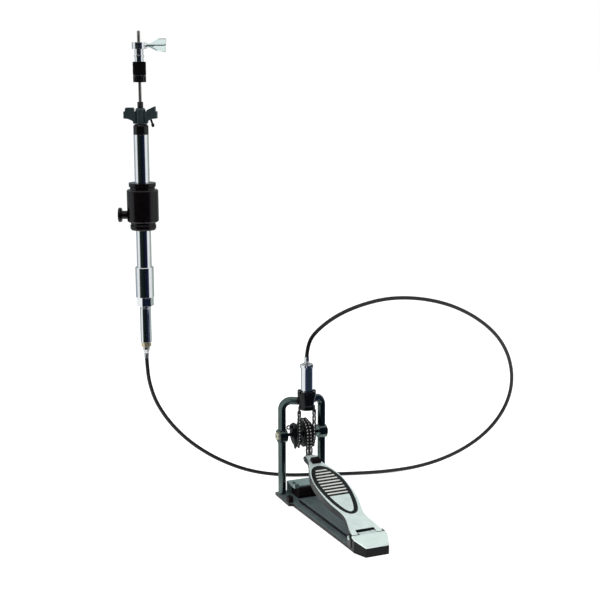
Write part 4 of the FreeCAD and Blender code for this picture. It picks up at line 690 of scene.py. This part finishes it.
def surround_material(name, tones):
    """Tones along the ring, glowing inwards; clear from outside."""
    material, tree, surface = stage_material(name)
    ramp = tree.nodes.new("ShaderNodeValToRGB")
    stops = ramp.color_ramp.elements
    stops.remove(stops[1])
    stops[0].position = 0
    stops[0].color = (*tones[0][1], 1)
    for turn, tone in tones[1:]:
        stops.new((turn + 180) / 360).color = (*tone, 1)
    split = tree.nodes.new("ShaderNodeSeparateXYZ")
    glow = tree.nodes.new("ShaderNodeEmission")
    tree.links.new(tree.nodes.new("ShaderNodeUVMap").outputs["UV"], split.inputs[0])
    tree.links.new(split.outputs["X"], ramp.inputs["Fac"])
    tree.links.new(ramp.outputs["Color"], glow.inputs["Color"])
    clear = tree.nodes.new("ShaderNodeBsdfTransparent").outputs[0]
    outside = tree.nodes.new("ShaderNodeNewGeometry").outputs["Backfacing"]
    tree.links.new(mix_shaders(tree, outside, glow.outputs["Emission"], clear), surface)
    return material


def make_surround(name, middle, radius, low, high, facing, tones):
    """Ring of tones round a unit, as a studio sets cards beside chrome; only reflections see it.

    Tones are (turn, colour): the turn in degrees, -180 to 180, from the direction called facing.
    """
    steps = 96
    turns = [math.radians(facing - 180 + 360 * step / steps) for step in range(steps + 1)]
    spots = [(middle[0] + radius * math.sin(turn), middle[1] - radius * math.cos(turn)) for turn in turns]
    corners = [(*spot, height) for height in (low, high) for spot in spots]
    row = steps + 1
    faces = [(step, step + row, step + row + 1, step + 1) for step in range(steps)]
    mesh = bpy.data.meshes.new(name)
    mesh.from_pydata(corners, [], faces)
    layer = mesh.uv_layers.new(name="across")
    for loop in mesh.loops:
        layer.data[loop.index].uv = ((loop.vertex_index % row) / steps, loop.vertex_index // row)
    mesh.materials.append(surround_material(name, tones))
    ring = add_object(name, mesh)
    ring.visible_camera = False
    ring.visible_diffuse = False
    ring.visible_shadow = False
    ring.visible_transmission = False


def aim(place, target):
    """Turn of a lamp at a place that shines at a target."""
    return (Vector(target) - Vector(place)).to_track_quat("-Z", "Y").to_euler()


def make_lamp(name, place, target, size, power):
    """Soft square lamp; the surrounds stand for it in reflections."""
    data = bpy.data.lights.new(name, "AREA")
    data.size = size
    data.energy = power
    lamp = add_object(name, data)
    lamp.location = place
    lamp.rotation_euler = aim(place, target)
    lamp.visible_glossy = False


CAMERA_PLACE = (-0.6468, -2.2948, 0.2996)
CAMERA_DOWN, CAMERA_TURN = 11.576, -23
CAMERA_LENS, CAMERA_SENSOR = 74.4, 36


def make_camera():
    """Camera at the photo's viewing angle, by the camera's turn and how far it looks down, in degrees."""
    data = bpy.data.cameras.new("camera")
    data.lens = CAMERA_LENS
    data.sensor_width = CAMERA_SENSOR
    camera = add_object("camera", data)
    camera.location = CAMERA_PLACE
    camera.rotation_euler = (math.radians(90 - CAMERA_DOWN), 0, math.radians(CAMERA_TURN))
    scene.camera = camera


WHITE = (0.95, 0.97, 0.98)
TUBE_TONES = (
    (-180, (0.30, 0.36, 0.38)), (-125, (0.40, 0.46, 0.49)), (-108, (0.50, 0.56, 0.6)), (-101, WHITE),
    (-70, WHITE), (-62, (0.02, 0.035, 0.03)), (-40, (0.012, 0.020, 0.017)), (0, (0.005, 0.007, 0.009)),
    (25, (0.008, 0.012, 0.03)), (50, (0.014, 0.020, 0.055)), (58, WHITE), (95, WHITE),
    (103, (0.42, 0.48, 0.44)), (180, (0.30, 0.36, 0.34)),
)
PEDAL_TONES = (
    (-180, (0.35, 0.42, 0.42)), (-100, (0.42, 0.50, 0.50)), (-90, WHITE), (-27, WHITE),
    (-18, (0.05, 0.07, 0.14)), (0, (0.020, 0.031, 0.056)), (60, (0.018, 0.028, 0.044)),
    (100, (0.03, 0.045, 0.085)), (118, (0.10, 0.13, 0.25)), (126, (0.75, 0.80, 0.85)),
    (180, (0.50, 0.55, 0.60)),
)
RING_FOOT = FLOOR + 0.002

make_floor()
make_world()
make_surround("tube_surround", middle=(0, 0), radius=0.6, low=RING_FOOT, high=0.36,
              facing=-15.7, tones=TUBE_TONES)
make_surround("pedal_surround", middle=(PEDAL_X, PEDAL_Y), radius=0.14, low=RING_FOOT, high=-0.28,
              facing=-23.2, tones=PEDAL_TONES)
make_lamp("key_light", place=(-1.6, -1.6, 1.7), target=(0.2, -0.1, -0.3), size=1.6, power=34)
make_lamp("fill_light", place=(1.9, -1.2, 1.2), target=(0.2, -0.1, -0.3), size=1.8, power=18)
make_lamp("top_light", place=(0.3, 0.6, 2.0), target=(0.2, -0.1, -0.4), size=1.6, power=16)
make_camera()
scene.view_settings.view_transform = "Standard"
